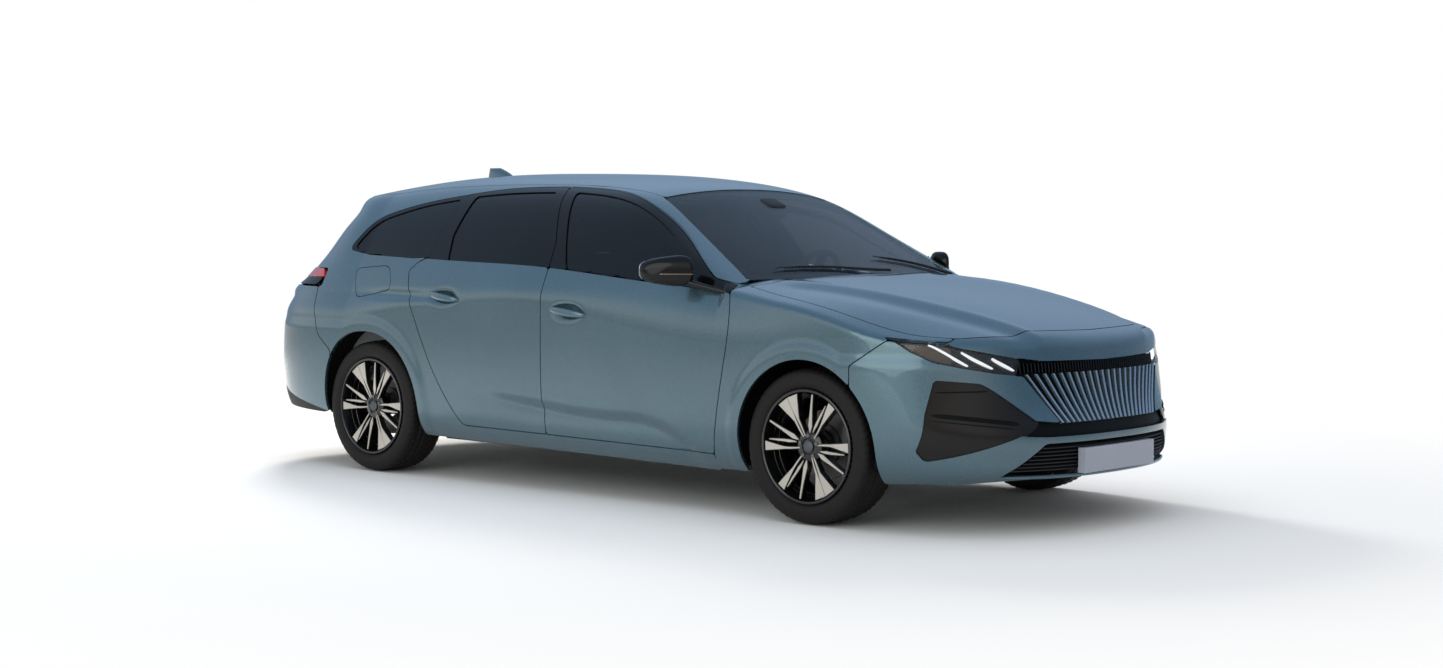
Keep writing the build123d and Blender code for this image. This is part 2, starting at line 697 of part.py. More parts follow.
def seat(x, y, z):
    """One front seat: cushion, leaning back and headrest on its posts, as a closed solid."""
    lean = radians(20)
    top_x, top_z = x - 130 - 670 * sin(lean), z + 780
    with BuildPart() as form:
        with BuildSketch(Plane.XZ.offset(-y - 250)):
            with BuildLine():
                Polyline((x - 260, z), (x + 250, z), (x + 270, z + 150), (x - 130, z + 110),
                         (top_x, top_z), (top_x - 120, top_z - 30), (x - 260, z))
            make_face()
        extrude(amount=500)
        fillet(form.edges().filter_by(Axis.Y).group_by(Axis.Z)[-1], 30)
        with Locations(Location((top_x - 95, y, top_z + 120), (0, -20, 0))):
            Box(80, 260, 150)
        with Locations(Location((top_x - 65, y - 50, top_z + 20), (0, -20, 0)),
                       Location((top_x - 65, y + 50, top_z + 20), (0, -20, 0))):
            Cylinder(7, 90)
    return form.part


with BuildPart() as front_seats:
    add(seat(20, -380, 216.3))
    add(seat(20, 380, 216.3))

with BuildPart() as rear_seat:
    with BuildSketch(Plane.XZ):
        with BuildLine():
            Polyline((-1120, 390.3), (-954, 390.3), (-911, 216.3), (-560, 216.3), (-545, 420),
                     (-590, 470), (-1010, 440), (-1170, 960), (-1260, 950), (-1120, 390.3))
        make_face()
    extrude(amount=610, both=True)
    for y in (-400, 0, 400):
        with Locations(Location((-1236, y, 1035), (0, -17, 0))):
            Box(70, 230, 120)
        with Locations(Location((-1216, y - 45, 965), (0, -17, 0)),
                       Location((-1216, y + 45, 965), (0, -17, 0))):
            Cylinder(7, 80)
    add(block((-956, -400), (-131, 131), (200, 331)), mode=Mode.SUBTRACT)

# ---------------------------------------------------------------- running gear
with BuildPart() as front_subframe:
    add(block((1230, 1560), (-439.8, 439.8), (250, 300)))
    with BuildSketch(Plane.XY.offset(205)):
        Polygon((1290, 400), (1290, 470), (1392, 690), (1392, 712), (1424, 712), (1424, 690),
                (1530, 470), (1530, 400), align=None)
        Polygon((1290, -400), (1290, -470), (1392, -690), (1392, -712), (1424, -712),
                (1424, -690), (1530, -470), (1530, -400), align=None)
    extrude(amount=30)
    add(both_sides(block((1290, 1530), (-438, -400), (230, 255))))

with BuildPart() as engine_block:
    add(block((1240, 1760), (-330, 330), (300, 740)))
    with Locations(Location((front_axle_x, 0, axle_z + 8), (90, 0, 0))):
        Cylinder(14, 1240)
    for y in (-606, 606):
        with Locations(Location((front_axle_x, y, axle_z + 8), (90, 0, 0))):
            Cylinder(32, 32)

with BuildPart() as knuckle_right:
    with Locations(king_low):
        Sphere(20)
    with Locations(king_high):
        Sphere(26)
    with BuildSketch(king_plane):
        Circle(14)
    extrude(amount=60)
    with BuildSketch(king_plane.offset(150)):
        Circle(24)
    extrude(amount=king_length - 150)
    add(block((front_axle_x - 30, front_axle_x + 30), (-702, -642), (275, 440)))
    add(block((front_axle_x + 100, front_axle_x + 165), (-772, -700), (290, 400)))
    add(block((front_axle_x + 20, front_axle_x + 120), (-728, -680), (300, 360)))
    add(block((front_axle_x + 60, front_axle_x + 150), (-758, -728), (200, 410)),
        mode=Mode.SUBTRACT)
    with Locations(Location((front_axle_x, -722.25, axle_z), (90, 0, 0))):
        Cylinder(38, 44.5)

with BuildPart() as rear_axle:
    with Locations(Location((-1130, 0, 290), (90, 0, 0))):
        Cylinder(38, 1180)
    for low, high in ((-600, -560), (560, 600)):
        add(block((-1340, -1015), (low, high), (265, 345)))
    for low, high in ((-660, -599), (599, 660)):
        add(block((-1364, -1284), (low, high), (265, 347)))
    for y in (-1, 1):
        with Locations(Location((rear_axle_x, y * 702.25, axle_z), (90, 0, 0))):
            Cylinder(38, 84.5)
        with Locations((-1040, y * 580, 319.85)):
            Cylinder(24, 59.7)

with BuildPart() as exhaust:
    with Locations(Location((100, 0, 262), (0, 90, 0))):
        Cylinder(30, 1780)
    add(block((-980, -780), (-60, 60), (225, 299.7)))
    with Locations(Location((-1370, 0, 215), (0, 90, 0))):
        Cylinder(28, 1200)
    add(block((-2100, -1880), (-420, 60), (205, 349.7)))


def wheel_tyre(x, y):
    """Tyre ring with rounded shoulders, turning about the wheel's axis."""
    with BuildPart() as ring:
        with BuildSketch(Plane.YZ.offset(x)):
            with BuildLine():
                Spline((y - 92, axle_z + 234.2), (y - 110, axle_z + 262), (y - 107, axle_z + 296),
                       (y - 88, axle_z + 312))
                ThreePointArc((y - 88, axle_z + 312), (y, axle_z + tyre_radius),
                              (y + 88, axle_z + 312))
                Spline((y + 88, axle_z + 312), (y + 107, axle_z + 296), (y + 110, axle_z + 262),
                       (y + 92, axle_z + 234.2))
                Line((y + 92, axle_z + 234.2), (y - 92, axle_z + 234.2))
            make_face()
        revolve(axis=Axis((x, y, axle_z), (0, 1, 0)))
    return ring.part


def wheel_rim(x):
    """Barrel, ten spokes, hub and brake disc of a right-hand wheel, in one solid."""
    with BuildPart() as rim:
        with BuildSketch(Plane.XZ.offset(wheel_y - 95)):
            with Locations((x, axle_z)):
                Circle(rim_flange_radius)
                Circle(rim_flange_radius - 14, mode=Mode.SUBTRACT)
        extrude(amount=198)
        with BuildSketch(Plane.XZ.offset(856)):
            with Locations((x, axle_z)):
                Circle(62)
                with PolarLocations(115, 10):
                    Rectangle(216, 26)
        extrude(amount=20)
        with BuildSketch(Plane.XZ.offset(745)):
            with Locations((x, axle_z)):
                Circle(62)
        extrude(amount=120)
        with BuildSketch(Plane.XZ.offset(732)):
            with Locations((x, axle_z)):
                Circle(142)
                Circle(44, mode=Mode.SUBTRACT)
        extrude(amount=20)
    return rim.part


with BuildPart() as tyre_front_right:
    add(wheel_tyre(front_axle_x, -wheel_y))
with BuildPart() as tyre_rear_right:
    add(wheel_tyre(rear_axle_x, -wheel_y))
with BuildPart() as rim_front_right:
    add(wheel_rim(front_axle_x))
with BuildPart() as rim_rear_right:
    add(wheel_rim(rear_axle_x))

# ---------------------------------------------------------------- small outer pieces
form_wiper = body_form(-12)
with BuildPart() as wipers:
    with BuildSketch(Plane.XY.offset(900)):
        Polygon((1118, 60), (1105, 50), (960, -560), (972, -566), align=None)
        Polygon((1030, 640), (1018, 632), (965, 110), (977, 108), align=None)
    extrude(amount=500)
    add(form_wiper - form_outer, mode=Mode.INTERSECT)

with BuildPart() as roof_antenna:
    with BuildSketch(Plane.XZ):
        with BuildLine():
            Spline((-1270, 1400), (-1300, 1458), (-1380, 1484), (-1440, 1486))
            Polyline((-1440, 1486), (-1452, 1400), (-1270, 1400))
        make_face()
    extrude(amount=22, both=True)
    add(form_outer, mode=Mode.SUBTRACT)

with BuildPart() as number_plates:
    add(block((2290, 2324), (-260, 260), (232, 332)))
    add(block((-2324, -2290), (-260, 260), (500, 600)))
    add(form_skin, mode=Mode.SUBTRACT)
    add(rear_bumper.part, mode=Mode.SUBTRACT)

# ---------------------------------------------------------------- write every piece out
pairs = {
    "fender": fender_right, "knuckle": knuckle_right,
    "door_front": door_front_right, "door_rear": door_rear_right,
    "door_glass_front": glass_front_right, "door_glass_rear": glass_rear_right,
    "mirror": mirror_right, "tyre_front": tyre_front_right, "tyre_rear": tyre_rear_right,
    "rim_front": rim_front_right, "rim_rear": rim_rear_right,
}
both = {
    "headlamps": headlamp_right, "tail_lamps": tail_lamp_right,
    "quarter_windows": quarter_window_right,
}
singles = {
    "body_side_right": body_side_right, "body_side_left": body_side_left,
    "floor_pan": floor_pan, "front_frame": front_frame, "roof_panel": roof_panel,
    "windscreen": windscreen, "bonnet": bonnet, "front_bumper": front_bumper, "grille": grille,
    "intake_grilles": intake_grilles, "rear_bumper": rear_bumper, "tailgate": tailgate,
    "tailgate_glass": tailgate_glass, "fuel_flap": fuel_flap, "dashboard": dashboard,
    "steering_wheel": steering_wheel, "front_seats": front_seats, "rear_seat": rear_seat,
    "front_subframe": front_subframe, "engine_block": engine_block, "rear_axle": rear_axle,
    "exhaust": exhaust, "wheel_arch_liners": wheel_arch_liners, "wipers": wipers,
    "roof_antenna": roof_antenna, "number_plates": number_plates,
}


def write(piece, name):
    """Labels a piece and writes its file."""
    piece.label = name
    export_step(piece, f"parts/{name}.step")


for name, builder in singles.items():
    write(builder.part, name)
for name, builder in both.items():
    write(both_sides(builder.part), name)
for name, builder in pairs.items():
    write(builder.part, name + "_right")
    write(mirror(builder.part, about=Plane.XZ), name + "_left")
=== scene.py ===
"""Five-door estate car: the look of every piece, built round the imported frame.

Lengths in this file are millimetres until a mesh is written, X is forward, Y is to the
car's left and Z is up.  `a` stands for the distance from the middle plane, the size of Y.
"""
import logging
import math
from collections.abc import Callable
from dataclasses import dataclass, field
from enum import Enum

import bpy
import numpy as np
from mathutils import Matrix, Vector


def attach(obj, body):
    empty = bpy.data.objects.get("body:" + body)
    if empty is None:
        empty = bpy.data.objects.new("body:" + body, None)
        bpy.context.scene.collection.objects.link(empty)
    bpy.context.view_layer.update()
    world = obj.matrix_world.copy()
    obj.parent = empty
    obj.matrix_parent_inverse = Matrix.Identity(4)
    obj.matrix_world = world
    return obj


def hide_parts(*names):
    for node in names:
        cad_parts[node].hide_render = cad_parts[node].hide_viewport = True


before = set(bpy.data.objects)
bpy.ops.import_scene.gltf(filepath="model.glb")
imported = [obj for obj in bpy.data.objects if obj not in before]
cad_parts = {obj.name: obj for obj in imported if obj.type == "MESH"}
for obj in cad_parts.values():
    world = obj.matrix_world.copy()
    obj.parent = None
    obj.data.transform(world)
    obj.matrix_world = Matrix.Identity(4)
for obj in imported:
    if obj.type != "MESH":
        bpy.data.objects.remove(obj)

log = logging.getLogger("estate_car")
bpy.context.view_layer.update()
MM = 0.001
Array = np.ndarray
Field = Callable[[Array], Array]
Pair = tuple[float, float]
Triple = tuple[float, float, float]
Tree = bpy.types.NodeTree
Socket = bpy.types.NodeSocket


class Side(Enum):
    """The two sides of the car, with the sign of Y on each."""

    RIGHT = -1
    LEFT = 1

    @property
    def word(self) -> str:
        """The side's name as the CAD nodes spell it."""
        return self.name.lower()


# ---------------- curves and numbers


@dataclass(frozen=True)
class Curve:
    """Natural cubic curve through (place, value) pairs, straight beyond its ends."""

    knots: tuple[Pair, ...]

    def __post_init__(self) -> None:
        """Solve the second derivatives at the knots, which are nought at both ends."""
        t, y = np.array(self.knots, float).T
        h = np.diff(t)
        n = len(t)
        system, right = np.eye(n), np.zeros(n)
        for i in range(1, n - 1):
            system[i, i - 1:i + 2] = h[i - 1], 2 * (h[i - 1] + h[i]), h[i]
            right[i] = 6 * ((y[i + 1] - y[i]) / h[i] - (y[i] - y[i - 1]) / h[i - 1])
        object.__setattr__(self, "solved", (t, y, h, np.linalg.solve(system, right)))

    def __call__(self, place: Array | float) -> Array:
        """Value of the curve.

        Args:
            place: where the curve is read.

        Returns:
            The value at each place.
        """
        t, y, h, m = self.solved
        place = np.asarray(place, float)
        inside = np.clip(place, t[0], t[-1])
        i = np.clip(np.searchsorted(t, inside) - 1, 0, len(h) - 1)
        high, low = (t[i + 1] - inside) / h[i], (inside - t[i]) / h[i]
        value = high * y[i] + low * y[i + 1] + (
            (high ** 3 - high) * m[i] + (low ** 3 - low) * m[i + 1]) * h[i] ** 2 / 6
        slope_first = (y[1] - y[0]) / h[0] - m[1] * h[0] / 6
        slope_last = (y[-1] - y[-2]) / h[-1] + m[-2] * h[-1] / 6
        value += np.minimum(place - t[0], 0) * slope_first
        return value + np.maximum(place - t[-1], 0) * slope_last


def step(value: Array, low: float, high: float) -> Array:
    """Smooth rise from 0 at low to 1 at high, the cubic 3t^2 - 2t^3."""
    t = np.clip((value - low) / (high - low), 0, 1)
    return t * t * (3 - 2 * t)


def soft(value: Array, width: Array | float) -> Array:
    """A ramp that starts at 0 with a rounded foot: width times log(1 + exp(value / width))."""
    t = value / width
    return width * np.where(t > 30, t, np.log1p(np.exp(np.minimum(t, 30))))


def xaz(p: Array) -> tuple[Array, Array, Array]:
    """X, distance from the middle plane, and Z of points of shape (..., 3)."""
    return p[..., 0], np.abs(p[..., 1]), p[..., 2]


def joined(first: Array, second: Array, radius: Array | float) -> Array:
    """The larger of two fields with the edge between them rounded over radius."""
    h = np.maximum(radius - np.abs(first - second), 0) / radius
    return np.maximum(first, second) + h ** 3 * radius / 6


# ---------------- the shape of the body


@dataclass(frozen=True)
class BodyForm:
    """The outer shape of the body as a field: negative inside, nought on the skin.

    Sides, hood, roof, screen and tail are each one formula, and the body is their joint
    inside.  In plan the ends are superellipses: half width to the power `q` plus depth
    into the end to the power `p` is one.
    """

    half_width: float = 905.0
    front_start: float = 1600.0
    rear_start: float = -1500.0
    front_axle: float = 1408.0
    rear_axle: float = -1324.0
    axle_height: float = 317.0
    arch_radius_front: float = 352.0
    arch_radius_rear: float = 364.0
    arch_power_behind: float = 2.4
    arch_stretch_behind: float = 1.096
    flare: float = 9.0
    valley_depth: float = 17.0
    dome_rise: float = 11.0
    groove_depth: float = 5.0
    ridge_rise: float = 3.0
    roof_fall: float = 58.0
    screen_slope: float = 1.997
    screen_bow: float = 167.0
    waist_radius: float = 22.0
    header_radius: float = 70.0
    cowl_radius: float = 18.0
    edge_radius: float = 26.0
    foot: Curve = Curve((
        (150, -112), (190, -76), (235, -44), (300, -21), (420, -6), (560, 0), (800, 1), (1000, 1)))
    shoulder_height: Curve = Curve((
        (-1900, 930), (-1114, 928), (-606, 915), (0, 892), (501, 852), (1001, 812), (1400, 800),
        (1900, 790)))
    shoulder_slope: Curve = Curve((
        (-2300, .28), (-1200, .28), (-500, .41), (400, .40), (1000, .33), (1400, .13), (1800, .04),
        (2300, .0)))
    facet_height: Curve = Curve((
        (-700, 476), (-535, 459), (-102, 419), (300, 396), (604, 376), (690, 344), (818, 272),
        (900, 215)))
    ledge_depth: float = 36.0
    cabin_width: Curve = Curve((
        (850, 928), (985, 868), (1100, 812), (1210, 750), (1318, 672), (1390, 598), (1460, 496)))
    hood_middle: Curve = Curve((
        (900, 1012), (1100, 1001), (1400, 972), (1700, 926), (1950, 868), (2100, 818), (2180, 783),
        (2260, 740)))
    hood_edge: Curve = Curve((
        (900, 934), (1009, 924), (1383, 884), (1645, 822), (1804, 772), (2000, 722), (2200, 690)))
    dome_edge: Curve = Curve(((1000, 640), (1300, 588), (1700, 520), (2000, 452), (2200, 392)))
    roof_middle: Curve = Curve((
        (-1930, 1350), (-1700, 1386), (-1500, 1411), (-1202, 1438), (-600, 1447), (-300, 1441),
        (0, 1425), (330, 1386)))
    nose: Curve = Curve((
        (150, 2190), (195, 2262), (230, 2298), (290, 2315), (350, 2318), (410, 2312), (450, 2298),
        (600, 2259), (680, 2246), (760, 2232), (900, 2206)))
    tail: Curve = Curve((
        (150, -2215), (235, -2262), (330, -2306), (440, -2318), (560, -2316), (700, -2302),
        (820, -2282), (890, -2260), (940, -2214), (1000, -2146), (1100, -2068), (1200, -2006),
        (1262, -1970), (1300, -1990), (1345, -1988), (1450, -1900)))

    def arch(self, x: Array, z: Array, front: bool) -> Array:
        """Distance of a point from the edge of a wheel arch, positive outside the hole.

        Args:
            x: place along the car.
            z: height.
            front: the front arch and not the rear one.

        Returns:
            The distance; behind the rear axle the arch is a superellipse, not a circle.
        """
        middle, radius = ((self.front_axle, self.arch_radius_front) if front
                          else (self.rear_axle, self.arch_radius_rear))
        behind = (x < middle) & (not front)
        power = np.where(behind, self.arch_power_behind, 2.0)
        across = np.abs(x - middle) * np.where(behind, self.arch_stretch_behind, 1.0)
        up = z - self.axle_height
        rise = np.where(up > 0, up, -up * np.where(behind, 3.0, 0.35))
        return (across ** power + rise ** power) ** (1 / power) - radius

    def lower_width(self, x: Array, z: Array) -> Array:
        """Half width below the belt: plain side, less the foot, the shoulder and the door's
        lower valley, plus the flares round the wheels.

        Args:
            x: place along the car.
            z: height.

        Returns:
            The half width.
        """
        above = z - self.shoulder_height(x)
        softness = 7 + 34 * step(x, -600, 1000)
        width = self.half_width + self.foot(z) - self.shoulder_slope(x) * soft(above, softness)
        under = z - self.facet_height(x)
        valley = step(-under, -3, 46) * np.exp(-np.maximum(-under - 46, 0) / 105)
        along = self.valley_depth * valley * step(x, -640, -150) * (1 - step(x, 720, 850))
        width = width - along
        ledge = step(z, 826, 866) - 0.75 * step(z, 874, 922)
        width = width - self.ledge_depth * step(-x, 560, 1300) * ledge
        near = np.minimum(self.arch(x, z, True), self.arch(x, z, False))
        return width + self.flare * (1 - step(near, 34, 82)) * step(z, 150, 330)

    def upper_width(self, x: Array, z: Array) -> Array:
        """Half width of the cabin, which narrows to both ends with the square of X.

        Args:
            x: place along the car.
            z: height.

        Returns:
            The half width.
        """
        back = np.maximum(x, self.rear_start)
        narrowing = np.where(x > 0, 45 * (x / 1000) ** 2, 75 * (back / 1700) ** 2)
        return self.cabin_width(z) - narrowing + 400 * step(x, 930, 1060)

    def hood(self, x: Array, a: Array) -> Array:
        """Height of the hood: middle line less a cube law to the edge, with a raised dome.

        Args:
            x: place along the car.
            a: distance from the middle plane.

        Returns:
            The height.
        """
        middle, edge = self.hood_middle(x), self.hood_edge(x)
        out = a - self.dome_edge(x)
        dome = self.dome_rise * (1 - step(out, -14, 60))
        dome = dome - self.groove_depth * np.exp(-((out - 78) / 46) ** 2)
        ridge = self.ridge_rise * np.exp(-(np.abs(out + 16) / 20) ** 1.6)
        raised = (dome - self.dome_rise + ridge) * step(x, 980, 1250)
        return middle - (middle - edge) * (a / 890) ** 2.7 + raised

    def roof(self, x: Array, a: Array) -> Array:
        """Height of the roof, falling to its edges with the power 2.2 of the half width."""
        return self.roof_middle(x) - self.roof_fall * (a / 600) ** 2.2

    def screen(self, x: Array, a: Array, z: Array) -> Array:
        """Field of the windscreen: a sloping plane that bows back towards its sides."""
        plane = x + self.screen_slope * (z - 976) - 1134
        return (plane + self.screen_bow * (a / 732) ** 2.2) / 2.233

    def reach(self, x: Array, a: Array, z: Array) -> Array:
        """Half width with the depth into either end added, as the superellipses ask.

        Args:
            x: place along the car.
            a: distance from the middle plane.
            z: height.

        Returns:
            The half width of the plain section that the point would lie on.
        """
        width = self.lower_width(np.clip(x, self.rear_start, self.front_start), z)
        fore = np.maximum(x - self.front_start, 0) / (self.nose(z) - self.front_start)
        aft = np.maximum(self.rear_start - x, 0) / (self.rear_start - self.tail(z))
        front = (a ** 2.5 + width ** 2.5 * fore ** 2.2) ** 0.4
        return np.where(x > 0, front, (a ** 4 + width ** 4 * aft ** 3.2) ** 0.25)

    def sides(self, x: Array, a: Array, z: Array, cabin: bool = True) -> Array:
        """Field of the side walls with both ends.

        Args:
            x: place along the car.
            a: distance from the middle plane.
            z: height.
            cabin: join the cabin to the lower body.

        Returns:
            The field.
        """
        out = self.reach(x, a, z)
        held = np.clip(x, self.rear_start, self.front_start)
        lower = out - self.lower_width(held, z)
        if not cabin:
            return lower
        return joined(lower, out - self.upper_width(x, z), self.waist_radius)

    def rounding(self, x: Array, z: Array) -> Array:
        """Radius between sides and top: wide along the roof rail, tight at hood and spoiler."""
        rail = 94 * step(z, 960, 1180) * (1 - 0.86 * step(-x, 1450, 1720))
        return self.edge_radius + rail + 30 * step(x, 1900, 2150)

    def body(self, p: Array) -> Array:
        """Field of the whole body at points of shape (..., 3).

        Args:
            p: points of shape (..., 3).

        Returns:
            The field.
        """
        x, a, z = xaz(p)
        front_edge = joined(z - self.roof(x, a), self.screen(x, a, z), self.header_radius)
        top = -joined(-(z - self.hood(x, a)), -front_edge, self.cowl_radius)
        return joined(self.sides(x, a, z), top, self.rounding(x, z))

    def bonnet(self, p: Array) -> Array:
        """Field of the body without its cabin, whose top is all hood.

        Args:
            p: points of shape (..., 3).

        Returns:
            The field.
        """
        x, a, z = xaz(p)
        return joined(self.sides(x, a, z, False), z - self.hood(x, a),
                      self.edge_radius + 30 * step(x, 1900, 2150))

    def cabin(self, p: Array) -> Array:
        """Field of the cabin alone, with no hood before it.

        Args:
            p: points of shape (..., 3).

        Returns:
            The field.
        """
        x, a, z = xaz(p)
        top = joined(z - self.roof(x, a), self.screen(x, a, z), self.header_radius)
        return joined(self.sides(x, a, z), top, self.rounding(x, z))


FORM = BodyForm()


# ---------------- sampling the shape


HALVINGS = 26


def cast(shape: Field, start: Array, way: Array, far: float = 1300.0) -> Array:
    """Where rays that start inside a shape leave it.

    Halves the stretch up to `far` again and again, until the last step is far under a
    hundredth of a millimetre.

    Args:
        shape: field that is negative inside.
        start: ray starts, shape (..., 3).
        way: unit directions, shape (..., 3).
        far: distance along the rays that is outside.

    Returns:
        The points on the skin, shape (..., 3).
    """
    low = np.zeros(start.shape[:-1])
    high = np.full(start.shape[:-1], float(far))
    for _ in range(HALVINGS):
        middle = (low + high) / 2
        inside = shape(start + way * middle[..., None]) < 0
        low, high = np.where(inside, middle, low), np.where(inside, high, middle)
    return start + way * ((low + high) / 2)[..., None]


def stack(x: Array | float, y: Array | float, z: Array | float) -> Array:
    """Points of shape (..., 3) from three arrays that fit each other."""
    return np.stack(np.broadcast_arrays(x, y, z), -1).astype(float)


def lane(low: float, high: float, spacing: float) -> Array:
    """Evenly spaced places from low to high, no further apart than spacing."""
    return np.linspace(low, high, max(2, int(math.ceil((high - low) / spacing)) + 1))


def side_grid(x: Pair, z_low: float, angle: float, turn: float = 930.0,
              spacing: float = 14.0, shape: Field = FORM.body) -> Array:
    """Grid over the right side: level rays up to a height, then rays that tip up from there.

    Args:
        x: lowest and highest X.
        z_low: lowest height.
        angle: how far the last rays are tipped, in degrees.
        turn: height at which the rays start to tip.
        spacing: distance between rays.
        shape: the field that is hit.

    Returns:
        Points of shape (columns, rows, 3).
    """
    level = lane(z_low, turn, spacing)
    tipped = np.radians(lane(0, angle, spacing / 13.0))[1:]
    height = np.concatenate([level, np.full(tipped.shape, turn)])
    tip = np.concatenate([np.zeros(level.shape), tipped])
    columns = lane(*x, spacing)[:, None]
    start = stack(columns, 0.0, height[None, :])
    way = stack(0.0 * columns, -np.cos(tip)[None, :], np.sin(tip)[None, :])
    return cast(shape, start, way)


def end_grid(middle: float, fan: Pair, z: Pair,
             spacing: float = 14.0, shape: Field = FORM.body) -> Array:
    """Grid round a car end: level rays that fan out from an upright axis.

    Args:
        middle: X of the axis.
        fan: first and last angle from +X towards +Y, in degrees.
        z: lowest and highest height.
        spacing: distance between rays at 800 mm from the axis.
        shape: the field that is hit.

    Returns:
        Points of shape (columns, rows, 3).
    """
    turn = np.radians(lane(*fan, math.degrees(spacing / 800.0)))[:, None]
    rows = lane(*z, spacing)[None, :]
    start = stack(middle, 0.0 * turn, rows)
    way = stack(np.cos(turn), np.sin(turn), 0.0 * rows)
    return cast(shape, start, way, 1600.0)


def top_grid(x: Pair, half: float, spacing: float = 14.0, shape: Field = FORM.body) -> Array:
    """Grid over a top: upright rays from 500 mm over the ground.

    Args:
        x: lowest and highest X.
        half: half of the grid's width.
        spacing: distance between rays.
        shape: the field that is hit.

    Returns:
        Points of shape (columns, rows, 3).
    """
    start = stack(lane(*x, spacing)[:, None], lane(-half, half, spacing)[None, :], 500.0)
    return cast(shape, start, stack(0.0, 0.0, np.ones(start.shape[:-1])), 1200.0)


# ---------------- outlines


def rounded(points: list[Pair], radius: float = 14.0) -> Array:
    """Closed outline with rounded corners: each corner becomes a short quadratic curve.

    Args:
        points: the corners in order.
        radius: how far from a corner its curve starts, or half a side if that is less.

    Returns:
        Points of shape (n, 2).
    """
    p = np.array(points, float)
    before, after = np.roll(p, 1, 0) - p, np.roll(p, -1, 0) - p
    back, on = np.linalg.norm(before, axis=1), np.linalg.norm(after, axis=1)
    cut = np.minimum(radius, np.minimum(back, on) * 0.49)[:, None]
    first, last = p + before / back[:, None] * cut, p + after / on[:, None] * cut
    t = np.linspace(0, 1, 6)[None, :, None]
    bend = (1 - t) ** 2 * first[:, None] + 2 * t * (1 - t) * p[:, None] + t * t * last[:, None]
    return bend.reshape(-1, 2)


def flowing(points: list[Pair], count: int = 60) -> list[Pair]:
    """Open smooth run through a few points: a natural cubic of each coordinate.

    Args:
        points: the points in order.
        count: how many points to return.

    Returns:
        The points of the run, as pairs.
    """
    p = np.array(points, float)
    along = np.concatenate([[0], np.cumsum(np.linalg.norm(np.diff(p, axis=0), axis=1))])
    t = np.linspace(0, along[-1], count)
    flat = [Curve(tuple(zip(along, p[:, k])))(t) for k in (0, 1)]
    return list(zip(*flat))


def signed(outline: Array, flat: Array) -> Array:
    """Distance of flat points from a closed outline, negative inside.

    Args:
        outline: corners, shape (n, 2).
        flat: points, shape (..., 2).

    Returns:
        The signed distance, of the points' shape.
    """
    shape = flat.shape[:-1]
    beyond = np.maximum(outline.min(0) - flat, flat - outline.max(0)).max(-1).reshape(-1)
    near = np.flatnonzero(beyond < 60)
    q = flat.reshape(-1, 1, 2)[near]
    a, b = outline[None], np.roll(outline, -1, 0)[None]
    best = np.empty(len(q))
    inside = np.empty(len(q), bool)
    for low in range(0, len(q), 8000):
        part = slice(low, low + 8000)
        edge, to = b - a, q[part] - a
        t = np.clip((to * edge).sum(-1) / np.maximum((edge * edge).sum(-1), 1e-9), 0, 1)
        best[part] = np.sqrt(((to - edge * t[..., None]) ** 2).sum(-1).min(1))
        u, v = q[part, :, 0], q[part, :, 1]
        crosses = (a[..., 1] > v) != (b[..., 1] > v)
        rise = np.where(np.abs(edge[..., 1]) < 1e-9, 1e-9, edge[..., 1])
        inside[part] = (crosses & (u < a[..., 0] + (v - a[..., 1]) * edge[..., 0] / rise)
                        ).sum(1) % 2 == 1
    beyond[near] = np.where(inside, -best, best)
    return beyond.reshape(shape)


class View(Enum):
    """The plane that an outline is drawn in, as the two axes of its points."""

    SIDE = (0, 2)
    PLAN = (0, 1)
    END = (1, 2)


@dataclass(frozen=True)
class Outline:
    """A closed outline in one view, used as a field over points of the skin."""

    view: View
    points: tuple[Pair, ...]
    radius: float = 14.0

    def __call__(self, p: Array) -> Array:
        """Signed distance in the view, with Y taken as |Y|."""
        q = stack(p[..., 0], np.abs(p[..., 1]), p[..., 2])
        return signed(rounded(list(self.points), self.radius), q[..., list(self.view.value)])


# ---------------- meshes


def clipped(points: Array, level: Array) -> tuple[Array, list[tuple[int, ...]]]:
    """The part of a grid where a field is negative, cut along the field's zero line.

    Whole cells stay four-sided.  A cell that the line crosses keeps the corners inside
    and gets a corner where the line meets each of its edges.

    Args:
        points: grid of shape (m, n, 3).
        level: the field at the grid, shape (m, n).

    Returns:
        Corners of shape (k, 3), and the faces as tuples of corner numbers.
    """
    m, n = level.shape
    level = np.where(np.abs(level) < 0.05, -0.05, level)
    flat, value = points.reshape(-1, 3), level.reshape(-1)
    index = np.arange(m * n).reshape(m, n)
    corners = np.stack([index[:-1, :-1], index[1:, :-1], index[1:, 1:], index[:-1, 1:]], -1)
    corners = corners.reshape(-1, 4)
    inside = value[corners] < 0
    whole = corners[inside.all(1)]
    mixed = corners[inside.any(1) & ~inside.all(1)]
    cuts: dict[tuple[int, int], int] = {}
    faces: list[tuple[int, ...]] = [tuple(f) for f in whole.tolist()]
    for cell in mixed.tolist():
        ring: list[int] = []
        for here, there in zip(cell, cell[1:] + cell[:1]):
            if value[here] < 0:
                ring.append(here)
            if (value[here] < 0) != (value[there] < 0):
                key = (min(here, there), max(here, there))
                ring.append(cuts.setdefault(key, m * n + len(cuts)))
        if len(ring) > 2:
            faces.append(tuple(ring))
    if cuts:
        ends = np.array(list(cuts))
        share = value[ends[:, 0]] / (value[ends[:, 0]] - value[ends[:, 1]])
        share = np.clip(share, 0.02, 0.98)
        new = flat[ends[:, 0]] + (flat[ends[:, 1]] - flat[ends[:, 0]]) * share[:, None]
        flat = np.concatenate([flat, new])
    used = np.unique(np.concatenate([np.array(f) for f in faces])) if faces else []
    renumber = np.full(len(flat), -1)
    renumber[used] = np.arange(len(used))
    return flat[used], [tuple(int(renumber[i]) for i in f) for f in faces]


